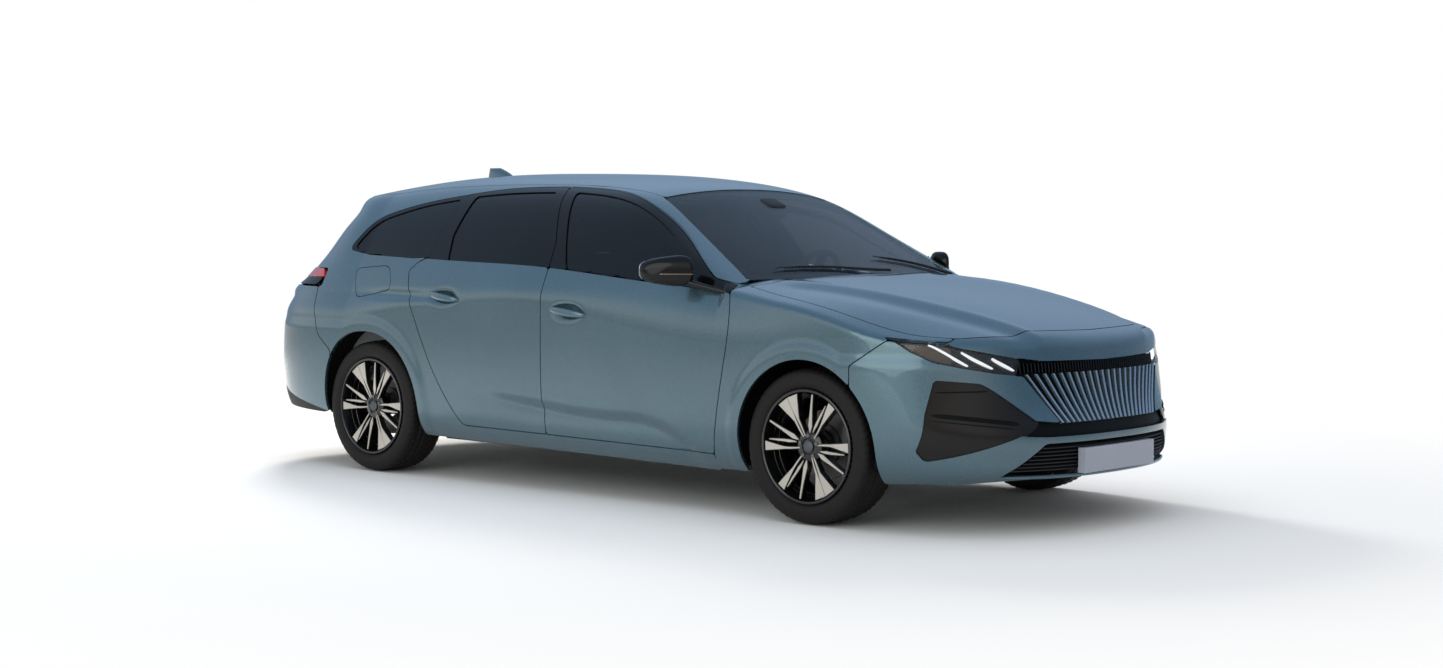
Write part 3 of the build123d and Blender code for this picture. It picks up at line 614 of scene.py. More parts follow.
def grid_faces(m: int, n: int, wrap_m: bool = False, wrap_n: bool = False) -> Array:
    """Four-sided faces of a grid of m by n corners, joined round where asked.

    Args:
        m: corners along the first parameter.
        n: corners along the second.
        wrap_m: the last row joins the first.
        wrap_n: the last column joins the first.

    Returns:
        Corner numbers of shape (faces, 4).
    """
    i = np.arange(m if wrap_m else m - 1)[:, None]
    j = np.arange(n if wrap_n else n - 1)[None, :]
    a, b = i * n + j, ((i + 1) % m) * n + j
    c, d = ((i + 1) % m) * n + (j + 1) % n, i * n + (j + 1) % n
    return np.stack([a, b, c, d], -1).reshape(-1, 4)


@dataclass
class Shape:
    """Corners in millimetres and faces, before they become a Blender mesh."""

    points: Array
    faces: list[tuple[int, ...]]

    @classmethod
    def sheet(cls, points: Array, wrap: tuple[bool, bool] = (False, False)) -> "Shape":
        """An open or joined sheet from a grid of points of shape (m, n, 3).

        Args:
            points: the grid.
            wrap: join the last row or column to the first.

        Returns:
            The sheet.
        """
        m, n = points.shape[:2]
        faces = grid_faces(m, n, *wrap)
        return cls(points.reshape(-1, 3), [tuple(f) for f in faces.tolist()])

    @classmethod
    def tube(cls, rings: Array) -> "Shape":
        """A closed tube from rings of shape (m, n, 3), with a face over each end.

        Args:
            rings: the rings in order.

        Returns:
            The closed shape.
        """
        m, n = rings.shape[:2]
        shape = cls.sheet(rings, (False, True))
        shape.faces.append(tuple(range(n)))
        shape.faces.append(tuple(range(m * n - 1, m * n - n - 1, -1)))
        return shape

    def moved(self, *shift: float) -> "Shape":
        """The shape moved."""
        return Shape(self.points + shift, self.faces)

    def mirrored(self) -> "Shape":
        """The shape on the other side of the car, with its faces turned to match."""
        return Shape(self.points * [1, -1, 1], [tuple(reversed(f)) for f in self.faces])

    def on(self, side: Side) -> "Shape":
        """The shape as made for the right side, or its mirror image on the left."""
        return self if side is Side.RIGHT else self.mirrored()


def combined(shapes: list[Shape]) -> Shape:
    """Many shapes in one, without joining them corner to corner.

    Args:
        shapes: the shapes.

    Returns:
        One shape with all their faces.
    """
    counts = np.cumsum([0] + [len(s.points) for s in shapes])
    faces = [tuple(i + int(k) for i in f) for s, k in zip(shapes, counts) for f in s.faces]
    return Shape(np.concatenate([s.points for s in shapes]), faces)


def panel(points: Array, *levels: Array) -> Shape:
    """A skin trimmed to where every one of some fields is negative.

    Args:
        points: grid of shape (m, n, 3).
        levels: fields over the grid.

    Returns:
        The skin as a shape.
    """
    return Shape(*clipped(points, np.maximum.reduce(levels)))


# ---------------- materials


class Pattern(Enum):
    """How the surface detail of a finish lies."""

    GRAIN = "grain"
    FLAKE = "flake"
    WEAVE = "weave"
    BRUSHED = "brushed"
    RIBS = "ribs"


def linear(code: str) -> tuple[float, float, float, float]:
    """Linear colour from an sRGB hex code such as "8fa3ad"."""
    parts = [int(code[i:i + 2], 16) / 255 for i in (0, 2, 4)]
    return (*[c / 12.92 if c <= 0.04045 else ((c + 0.055) / 1.055) ** 2.4 for c in parts], 1.0)


def added(tree: Tree, kind: str, inputs: dict | None = None, **settings: object) -> bpy.types.Node:
    """Add one node.

    Args:
        tree: the material's node tree.
        kind: the node's Blender name without "ShaderNode".
        inputs: values by socket name or number; an output socket is linked.
        settings: properties of the node itself.

    Returns:
        The new node.
    """
    node = tree.nodes.new("ShaderNode" + kind)
    for key, value in settings.items():
        setattr(node, key, value)
    for key, value in (inputs or {}).items():
        if isinstance(value, Socket):
            tree.links.new(value, node.inputs[key])
        else:
            node.inputs[key].default_value = value
    return node


@dataclass(frozen=True)
class Finish:
    """One real surface: its colours, its shine and the size of its detail in millimetres."""

    name: str
    slot: str
    colour: str
    second: str
    roughness: float
    pattern: Pattern = Pattern.GRAIN
    detail: float = 1.0
    depth: float = 0.02
    spread: float = 0.08
    metallic: float = 0.0
    coat: float = 0.0
    sheen: float = 0.0
    alpha: float = 1.0
    index: float = 1.5
    specular: float = 0.5
    glow: float = 0.0
    patches: float = 400.0

    def _detail(self, tree: Tree, place: Socket) -> Socket:
        """Height of the fine detail.

        Args:
            tree: the material's node tree.
            place: the coordinates to read.

        Returns:
            The socket that gives the height, from 0 to 1.
        """
        scale = 1 / (self.detail * MM)
        if self.pattern is Pattern.FLAKE:
            return added(tree, "TexVoronoi", {"Vector": place, "Scale": scale}).outputs["Color"]
        if self.pattern is Pattern.WEAVE:
            waves = [added(tree, "TexWave", {"Vector": place, "Scale": scale / math.pi / 2,
                                             "Distortion": 0.6}, bands_direction=axis)
                     for axis in "XZ"]
            return added(tree, "Math", {0: waves[0].outputs["Fac"], 1: waves[1].outputs["Fac"]},
                         operation="MULTIPLY").outputs[0]
        if self.pattern is Pattern.BRUSHED:
            long = added(tree, "Mapping", {"Vector": place, "Scale": (1.0, 1.0, 0.04)})
            return added(tree, "TexNoise", {"Vector": long.outputs[0], "Scale": scale,
                                            "Detail": 2.0}).outputs["Fac"]
        if self.pattern is Pattern.RIBS:
            return added(tree, "TexWave", {"Vector": place, "Scale": scale / math.pi / 2},
                         bands_direction="Z").outputs["Fac"]
        return added(tree, "TexNoise", {"Vector": place, "Scale": scale, "Detail": 4.0}
                     ).outputs["Fac"]

    def material(self) -> bpy.types.Material:
        """The finish as a Blender material, made once.

        Returns:
            The material.
        """
        if self.name in bpy.data.materials:
            return bpy.data.materials[self.name]
        made = bpy.data.materials.new(self.name)
        made.use_nodes = True
        tree = made.node_tree
        tree.nodes.clear()
        place = added(tree, "TexCoord").outputs["Object"]
        fine = self._detail(tree, place)
        wide = added(tree, "TexNoise", {"Vector": place, "Scale": 1 / (self.patches * MM),
                                        "Detail": 3.0}).outputs["Fac"]
        both = added(tree, "Math", {0: fine, 1: wide}, operation="MULTIPLY").outputs[0]
        colour = added(tree, "Mix", {0: both, 6: linear(self.colour), 7: linear(self.second)},
                       data_type="RGBA").outputs[2]
        shine = added(tree, "MapRange", {0: fine, 3: self.roughness - self.spread / 2,
                                         4: self.roughness + self.spread / 2}).outputs[0]
        bump = added(tree, "Bump", {"Height": fine, "Strength": 0.6,
                                    "Distance": self.depth * MM}).outputs[0]
        shader = added(tree, "BsdfPrincipled", {
            "Base Color": colour, "Roughness": shine, "Normal": bump,
            "Metallic": self.metallic, "Coat Weight": self.coat, "Coat Roughness": 0.03,
            "Sheen Weight": self.sheen, "Alpha": self.alpha, "IOR": self.index,
            "Specular IOR Level": self.specular, "Emission Color": linear(self.colour),
            "Emission Strength": self.glow})
        out = added(tree, "OutputMaterial", {"Surface": shader.outputs[0]})
        out.is_active_output = True
        return made


# Sprayed metallic lacquer under clear coat: aluminium flake gives a grainy sparkle and a
# soft wide gloss, and the clear coat over it gives a second, sharp reflection.
LACQUER = Finish("metallic_lacquer_sprayed_clear_coated", "body_paint", "46606b", "5a7681",
                 0.27, Pattern.FLAKE, 1.6, 0.006, 0.10, metallic=0.72, coat=1.0)
# Metallic lacquer of the grille bars, made paler than the body's as painted highlight.
LACQUER_PAINTED_HIGHLIGHT = Finish("metallic_lacquer_pale_grille", "body_paint", "8298ab", "9fb4c5", 0.28,
              Pattern.FLAKE, 1.6, 0.006, 0.10, metallic=0.6, coat=0.6)
# Black laminated edge and dyed tempered glass: nearly black, with a hard clean mirror.
TINTED = Finish("tempered_glass_dyed_dark", "glass_tinted", "050505", "0a0a0b", 0.02,
                detail=300.0, depth=0.02, spread=0.01, alpha=0.92, specular=0.33)
# Tempered door glass, lightly dyed: the far windows show through it.
DOOR_GLASS = Finish("tempered_glass_light_dye", "glass_tinted", "07080a", "0d0e10", 0.02,
                    detail=300.0, depth=0.02, spread=0.01, alpha=0.78, specular=0.4)
# Laminated windscreen with a grey shade: the seats show faintly behind a sky-coloured sheen.
SCREEN_GLASS = Finish("laminated_windscreen_grey", "glass_clear", "161d25", "202a34", 0.02,
                      detail=300.0, depth=0.02, spread=0.01, alpha=0.5, specular=0.6)
# Moulded ABS, polished black: dark with a clean gloss and a faint ripple from the mould.
PIANO = Finish("abs_moulded_gloss_black", "gloss_black", "060606", "0c0b0b", 0.10,
               detail=60.0, depth=0.03, spread=0.03, specular=0.3)
# Grained polypropylene: fine leather-like pits break the light into a dull grey.
PLASTIC = Finish("polypropylene_grained_black", "matte_black", "111213", "1c1d1f", 0.62,
                 detail=1.4, depth=0.10, spread=0.15)
# Black polypropylene, darkened to almost black as painted shade of deep openings: almost no light
# comes back from them.
BLACK_AND_PAINTED_SHADE = Finish("polypropylene_matt_deep_black", "matte_black", "050505", "090909", 0.5,
                detail=2.0, depth=0.05, specular=0.12)
# Smoked polycarbonate side intake: a dark warm gloss.
SMOKED = Finish("polycarbonate_smoked_brown", "gloss_black", "110e0c", "1c1714", 0.14,
                detail=40.0, depth=0.03, spread=0.03, specular=0.3)
# Extruded rubber seal: soft black, almost no gloss.
SEAL = Finish("rubber_seal_extruded", "matte_black", "080808", "0f0f0f", 0.85,
              detail=3.0, depth=0.04, specular=0.15)
# Face-turned aluminium under clear lacquer: warm silver with fine lines from the lathe.
MACHINED = Finish("aluminium_alloy_face_turned", "wheel_alloy", "b9b2a8", "cdc7be", 0.30,
                  Pattern.BRUSHED, 0.8, 0.010, 0.12, metallic=0.92, coat=0.4)
# Gloss black powder coat on the cast wheel.
WHEEL_BLACK = Finish("cast_alloy_gloss_black", "wheel_alloy", "0b0b0c", "151517", 0.20,
                     detail=4.0, depth=0.03, metallic=0.2, coat=0.5)
# Vulcanised tread rubber, a dusty brown-black with a silk sidewall.
RUBBER = Finish("vulcanised_rubber_tyre", "tyre_rubber", "130f0d", "1e1815", 0.62,
                detail=2.2, depth=0.08, spread=0.2, specular=0.25, patches=90.0)
# Ground cast iron disc: bright grey, circular grinding seen as fine noise.
DISC = Finish("cast_iron_ground", "cast_metal", "5d5b58", "777470", 0.38, Pattern.BRUSHED,
              1.2, 0.02, metallic=0.9)
# Smoked polycarbonate lamp bowl behind a hard clear lens.
BOWL = Finish("polycarbonate_smoked_lamp_bowl", "lamp_front", "26272a", "3a3a3c", 0.18,
              detail=8.0, depth=0.05, metallic=0.5)
# Clear polycarbonate lens.
LENS = Finish("polycarbonate_clear_lens", "lamp_front", "22262a", "2b2f33", 0.03,
              detail=200.0, depth=0.01, spread=0.01, alpha=0.22, specular=0.8)
# Warm indicator reflector, vacuum-coated amber.
AMBER = Finish("reflector_vacuum_coated_amber", "lamp_front", "6f5f56", "8b7a6f", 0.26,
               detail=5.0, depth=0.05, metallic=0.6)
# Light guide of frosted acrylic, lit from behind: even white with a soft edge.
GUIDE = Finish("acrylic_light_guide_lit", "lamp_front", "f4f7fa", "ffffff", 0.30,
               detail=3.0, depth=0.02, glow=1.1)
# Red acrylic tail lens with moulded optics behind its skin.
RED = Finish("acrylic_red_tail_lens", "lamp_rear", "9c1614", "c22a22", 0.10, Pattern.RIBS,
             6.0, 0.05, coat=1.0, glow=0.12)
# White retroreflective sheet on aluminium, darkened to blue-grey as painted shade: a fine bead
# pattern, satin.
PLATE_SHEET_SHADED = Finish("retroreflective_sheet_white", "plate_white", "9ba1ad", "b0b6c1", 0.42,
               Pattern.FLAKE, 1.2, 0.01)
# Sealed underbody steel: grey-black stone-chip coat with an orange-peel surface.
UNDERBODY = Finish("steel_stone_chip_coated", "floor_steel", "202224", "2d2f31", 0.7,
                   detail=6.0, depth=0.2)
# Sand-cast aluminium and iron parts.
CAST = Finish("cast_aluminium_sand_cast", "cast_metal", "56585a", "6c6e70", 0.5,
              detail=3.0, depth=0.15, metallic=0.8)
# Rolled stainless steel of the exhaust, dulled by heat.
STEEL = Finish("stainless_steel_rolled", "raw_steel", "6b665f", "857f76", 0.42,
               Pattern.BRUSHED, 1.5, 0.02, metallic=0.95)
# Knitted seat cloth: two crossing rows of yarn, drawn at 3 mm so that they show.
CLOTH = Finish("polyester_seat_cloth_woven", "seat_fabric", "3c4046", "5a6068", 0.85,
               Pattern.WEAVE, 3.0, 0.35, sheen=0.35)
# Side bolsters in coated leather cloth.
LEATHER = Finish("leather_cloth_coated", "seat_fabric", "26282b", "34373b", 0.48,
                 detail=2.0, depth=0.12, sheen=0.1)
# Soft dashboard foil, slush-moulded with a leather grain.
FOIL = Finish("slush_moulded_foil_grained", "matte_black", "1d1f22", "292c30", 0.6,
              detail=1.8, depth=0.12)
# Silvered mirror glass.
MIRROR = Finish("glass_silvered_mirror", "glass_clear", "b9c0c6", "c6ccd2", 0.02,
                detail=200.0, depth=0.01, spread=0.01, metallic=1.0)
# Needle-felt roof lining and load floor.
FELT = Finish("needle_felt_grey", "seat_fabric", "6a6d70", "85888b", 0.95,
              detail=2.5, depth=0.3, sheen=0.4)


# ---------------- pieces


@dataclass(frozen=True)
class Make:
    """How a shape becomes a piece: wall thickness, edge rounding and body, in millimetres."""

    body: str
    wall: float = 0.0
    edge: float = 0.0
    smooth: float = 35.0
    hides: tuple[str, ...] = ()
    weld: bool = False


def piece(name: str, shape: Shape, finish: Finish, make: Make) -> bpy.types.Object:
    """Write a shape as a Blender object that rides on a body.

    Args:
        name: the piece's name.
        shape: corners and faces.
        finish: its surface.
        make: wall, edges, body and the CAD nodes it stands for.

    Returns:
        The object.
    """
    mesh = bpy.data.meshes.new(name)
    mesh.from_pydata((shape.points * MM).tolist(), [], shape.faces)
    mesh.validate()
    mesh.polygons.foreach_set("use_smooth", np.ones(len(mesh.polygons), bool))
    mesh.materials.append(finish.material())
    made = bpy.data.objects.new(name, mesh)
    bpy.context.scene.collection.objects.link(made)
    if make.smooth < 180:
        mesh.set_sharp_from_angle(angle=math.radians(make.smooth))
    if make.weld:
        weld = made.modifiers.new("weld", "WELD")
        weld.merge_threshold = 0.05 * MM
    if make.wall:
        solid = made.modifiers.new("wall", "SOLIDIFY")
        solid.thickness, solid.offset = make.wall * MM, -1.0
    if make.edge:
        bevel = made.modifiers.new("edge", "BEVEL")
        bevel.width, bevel.segments = make.edge * MM, 2
        bevel.limit_method, bevel.angle_limit = "ANGLE", math.radians(40)
        bevel.harden_normals = True
    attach(made, make.body)
    if make.hides:
        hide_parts(*make.hides)
    log.info("%s: %d faces in %s", name, len(mesh.polygons), finish.name)
    return made


# ---------------- lines between the panels

GAP = 4.5  # width of the seams
ROOF_SEAM = 562.0  # distance of the roof's seam from the middle plane
LID_HALF = 606.0  # half width of the tailgate's flat rear part
GLASS_FOOT = 1010.0  # height under which the tailgate has no glass
NOWHERE = 99.0  # value of a field where its outline does not count
COARSE = (slice(None, None, 2), slice(None, None, 2))  # half of a grid's rows and columns
# Outlines of the panels, each drawn in one view and cut through the skin.
PILLAR = ((-110, 262), (-110, 1000), (-118, 1120), (-243, 1373))
FRONT_DOOR = Outline(View.SIDE, (
    (-110, 262), (905, 250), (983, 630), *flowing([(983, 630), (1004, 833), (976, 957)], 8)[1:],
    *flowing([(871, 984), (663, 1122), (434, 1251), (211, 1331), (12, 1360), (-243, 1373)], 24),
    (-118, 1120), (-110, 1000)), 10.0)
REAR_DOOR = Outline(View.SIDE, (
    *PILLAR, *flowing([(-243, 1373), (-657, 1364), (-905, 1338)], 10)[1:], (-978, 1040),
    (-1040, 1016), *flowing([(-1086, 976), (-980, 767), (-818, 470), (-690, 300)], 14),
    (-655, 268)), 12.0)
FRONT_GLASS = Outline(View.SIDE, (
    (-4, 1013), (792, 949), *flowing([(760, 1000), (640, 1096), (430, 1226), (205, 1306),
                                     (12, 1336), (-160, 1348)], 20)), 12.0)
REAR_GLASS = Outline(View.SIDE, (
    (-296, 1350), (-190, 1122), (-180, 1014), (-822, 1035), (-852, 1150),
    *flowing([(-828, 1331), (-657, 1343), (-296, 1350)], 10)[:-1]), 12.0)
QUARTER_DARK = Outline(View.SIDE, (
    (-898, 1340), (-972, 1042), (-1084, 1036), (-1455, 1048), (-1606, 1068),
    *flowing([(-1618, 1090), (-1511, 1212), (-1380, 1260), (-1224, 1294), (-1060, 1320),
              (-898, 1340)], 16)[:-1]), 12.0)
QUARTER_GLASS = Outline(View.SIDE, (
    (-928, 1318), (-1004, 1054), (-1455, 1060), (-1572, 1078),
    *flowing([(-1584, 1094), (-1490, 1200), (-1370, 1242), (-1224, 1276), (-928, 1318)],
             14)[:-1]), 12.0)
FUEL_FLAP = Outline(View.SIDE, ((-1520, 980), (-1250, 1000), (-1180, 886), (-1445, 838)), 44.0)
BODY_SIDE = Outline(View.SIDE, (
    (-1590, 150), (905, 150), (905, 250), (983, 630), (1004, 833), (978, 957), (978, 1020),
    (330, 1600), (-1694, 1600), (-1694, 1342), (-1986, 1012), (-2006, 986), (-2006, 980),
    (-1752, 976), (-1752, 894), (-1778, 886), (-1746, 770), (-1692, 648), (-1601, 578)), 6.0)
FENDER = Outline(View.SIDE, (
    (905, 250), (983, 630), *flowing([(983, 630), (1004, 833), (976, 957)], 8)[1:],
    (1010, 1100), (2010, 1100), (2010, 755), (1806, 760), (1650, 655), (1650, 100),
    (880, 100)), 6.0)
REAR_CORNER = Outline(View.SIDE, (
    (-1601, 100), (-1601, 578), (-1692, 648), (-1746, 770), (-1780, 888), (-2600, 888),
    (-2600, 100)), 6.0)
BONNET_EDGE = ((1012, 772), (1125, 792), (1480, 827), (1750, 815), (1900, 775), (2020, 700))
BONNET_NOSE = ((2020, 700), (2085, 590), (2131, 430), (2163, 210), (2174, 0))
BONNET = Outline(View.PLAN, (
    *flowing([(1174, 0), (1132, 380), (1012, 772)], 16)[:-1], *flowing(BONNET_EDGE, 24)[:-1],
    *flowing(BONNET_NOSE, 18), (2174, -60), (1174, -60)), 10.0)
SCREEN = Outline(View.PLAN, (
    *flowing([(345, 0), (341, 300), (327, 566)], 12), *flowing([(967, 732), (1092, 370),
                                                              (1134, 0)], 16),
    (1134, -60), (345, -60)), 10.0)
TAILGATE_SIDE = Outline(View.SIDE, (
    (-1694, 1700), (-1694, 1342), (-1986, 1012), (-2006, 984), (-2600, 984), (-2600, 1700)), 6.0)
TAILGATE_END = Outline(View.END, (
    (-60, 645), (500, 645), (566, 690), (596, 870), (606, 1000), (-60, 1000)), 16.0)
REAR_SCREEN = Outline(View.END, (
    (-60, 1034), (548, 1040), (606, 1062), (566, 1236), (520, 1282), (-60, 1298)), 26.0)
TAIL_LAMP = Outline(View.SIDE, ((-1752, 940), (-1800, 894), (-2600, 894), (-2600, 976),
                                (-1790, 976)), 8.0)
HEADLAMP = Outline(View.END, (
    (872, 772), (797, 758), (710, 730), (595, 704), (501, 686), (523, 624), (612, 635),
    (723, 657), (794, 678), (840, 720)), 8.0)
GRILLE = Outline(View.END, (
    (-60, 668), (400, 676), (504, 690), (530, 622), (497, 622), (352, 434), (-60, 434)), 6.0)
SLOT = Outline(View.END, ((-60, 434), (350, 434), (469, 446), (548, 391), (430, 384), (-60, 384)),
               6.0)
LOWER_INTAKE = Outline(View.END, ((-60, 356), (440, 356), (602, 230), (-60, 230)), 10.0)
SIDE_INTAKE = Outline(View.END, (
    (796, 608), (664, 594), (622, 565), (469, 444), (552, 389), (812, 292), (834, 330),
    (820, 480)), 8.0)
BELT = Curve((
    (-1700, 1086), (-1455, 1049), (-1084, 1038), (-780, 1030), (-165, 1012), (409, 967),
    (887, 931), (1000, 922)))


def inset(points: Array, depth: float, shape: Field = FORM.body) -> Array:
    """Points moved inwards along the field's slope, worked out by small differences.

    Args:
        points: points on the skin, shape (..., 3).
        depth: how far inwards.
        shape: the field whose slope is used.

    Returns:
        The moved points.
    """
    h = 1.0
    slope = np.stack([shape(points + h * axis) - shape(points - h * axis) for axis in np.eye(3)],
                     -1)
    slope /= np.maximum(np.linalg.norm(slope, axis=-1, keepdims=True), 1e-9)
    return points - slope * depth


HANDLE_PLACES = ((-775.0, 861.0), (54.0, 817.0))


# ---------------- outer panels


@dataclass
class SidePanels:
    """Body side, doors and their glass, made for the right and mirrored to the left."""

    lowest: float = 160.0
    sill_front: float = 177.0
    sill_rear: float = 201.0
    behind_arch: float = 300.0
    skin_wall: float = 16.0
    door_wall: float = 42.0
    glass_wall: float = 4.0
    glass_depth: float = 7.0
    frame_depth: float = 1.5
    dent: float = 13.0
    grid: Array = field(init=False)

    def __post_init__(self) -> None:
        """Cast the grid over the side once."""
        self.grid = side_grid((-2016, 1012), self.lowest, 66.0, spacing=12.0)
        for x, z in HANDLE_PLACES:
            out = np.hypot((self.grid[..., 0] - x) / 84, (self.grid[..., 2] - z) / 34)
            self.grid[..., 1] += self.dent * np.exp(-out ** 4)

    def bottom(self, p: Array) -> Array:
        """Field that is positive below the sill's lower edge.

        Args:
            p: points of shape (..., 3).

        Returns:
            The field.
        """
        x, _, z = xaz(p)
        share = np.clip((x + 980) / 1870, 0, 1)
        low = self.sill_rear + (self.sill_front - self.sill_rear) * share
        return np.where(x < FORM.rear_axle, self.behind_arch, low) - z

    def build(self, side: Side) -> None:
        """Make every piece of one side.

        Args:
            side: which side.
        """
        p, word, gap = self.grid, side.word, GAP / 2
        x, a, z = xaz(p)
        front, rear, above = FRONT_DOOR(p), REAR_DOOR(p), z - BELT(x)
        dark, quarter = QUARTER_DARK(p), QUARTER_GLASS(p)
        arch = FORM.arch(x, z, False)
        shell = [BODY_SIDE(p) + gap, gap - front, gap - rear, 0.8 - dark, -arch,
                 self.bottom(p), ROOF_SEAM + 2 - a, 3.0 - SCREEN(p)]
        if side is Side.RIGHT:
            flap_gap = gap * 0.7
            shell.append(flap_gap - FUEL_FLAP(p))
            piece("fuel_flap_skin", panel(p, FUEL_FLAP(p) + flap_gap), LACQUER,
                  Make("fuel_lid", 3, 0.8, hides=("fuel_flap",)))
        piece(f"side_skin_{word}", panel(p, *shell).on(side), LACQUER,
              Make("body", self.skin_wall, 1.5, hides=(f"body_side_{word}",)))
        pane = inset(p, self.glass_depth)[COARSE]
        frame_points = inset(p, self.frame_depth)
        piece(f"quarter_frame_{word}", panel(frame_points, dark + 0.4, 1.5 - quarter).on(side),
              PIANO, Make("body", 10, 1.2))
        piece(f"quarter_pane_{word}", panel(pane, quarter[COARSE] - 6).on(side), TINTED,
              Make("body", self.glass_wall, 0.8,
                   hides=("quarter_windows",) if side is Side.RIGHT else ()))
        doors = (("front", front, FRONT_GLASS(p)), ("rear", rear, REAR_GLASS(p)))
        for which, edge, glass in doors:
            body = f"{which}_door_{word}"
            piece(f"door_{which}_skin_{word}", panel(p, edge + gap, above + 1).on(side), LACQUER,
                  Make(body, self.door_wall, 1.5, hides=(f"door_{which}_{word}",)))
            piece(f"door_{which}_frame_{word}",
                  panel(frame_points, edge + gap, -above + 1, 1.5 - glass).on(side),
                  PIANO, Make(body, 16, 1.2))
            piece(f"door_{which}_pane_{word}", panel(pane, glass[COARSE] - 6).on(side),
                  DOOR_GLASS if which == "front" else TINTED,
                  Make(body, self.glass_wall, 0.8, hides=(f"door_glass_{which}_{word}",)))


@dataclass
class FrontFenders:
    """The two front fenders with their arches and the ridge up to the screen."""

    wall: float = 12.0
    lowest: float = 186.0
    lamp_start: float = 1785.0
    inner_y: float = 600.0

    def build(self) -> None:
        """Make both fenders."""
        p = side_grid((880, 2080), 170.0, 62.0, turn=420.0, spacing=9.0, shape=FORM.bonnet)
        x, a, z = xaz(p)
        lamp = np.where(x > self.lamp_start, HEADLAMP(p), NOWHERE)
        skin = panel(p, FENDER(p) + GAP / 2, GAP / 2 - BONNET(p), 3 - SCREEN(p),
                     -FORM.arch(x, z, True), self.lowest - z, GAP / 2 - lamp,
                     self.inner_y - a)
        for side in Side:
            piece(f"fender_skin_{side.word}", skin.on(side), LACQUER,
                  Make("body", self.wall, 1.5, hides=(f"fender_{side.word}",)))


@dataclass
class TopPanels:
    """Roof, windscreen with its black border, cowl and bonnet."""

    wall: float = 16.0
    border: float = 36.0

    def build(self) -> None:
        """Make the pieces."""
        p = top_grid((-1710, 350), 590.0, spacing=22.0, shape=FORM.cabin)
        x, a, _ = xaz(p)
        roof = panel(p, a - ROOF_SEAM + 2, -1692 - x, 3 - SCREEN(p))
        piece("roof_skin", roof, LACQUER, Make("body", self.wall, 1.5, hides=("roof_panel",)))
        g = top_grid((300, 1150), 760.0, spacing=22.0, shape=FORM.cabin)
        glass = inset(g, 3.0, FORM.cabin)
        piece("windscreen_pane", panel(glass, SCREEN(g) + 1), SCREEN_GLASS,
              Make("body", 5, 0.8, hides=("windscreen",)))
        border = panel(inset(g, 9.5, FORM.cabin), SCREEN(g) + 2, -SCREEN(g) - self.border)
        piece("windscreen_border", border, BLACK_AND_PAINTED_SHADE, Make("body", 2))
        b = top_grid((1000, 2190), 850.0, spacing=16.0, shape=FORM.bonnet)
        piece("bonnet_skin", panel(b, BONNET(b) + GAP / 2), LACQUER,
              Make("bonnet_lid", 18, 1.5, hides=("bonnet",)))
        c = inset(top_grid((960, 1190), 790.0, shape=FORM.bonnet), 9.0, FORM.bonnet)
        x, a, _ = xaz(c)
        cowl = panel(c, -SCREEN(c) - 30, -BONNET(c) - 40, x - 1190, a - 780)
        piece("cowl_panel", cowl, PLASTIC, Make("body", 6, 1.0))


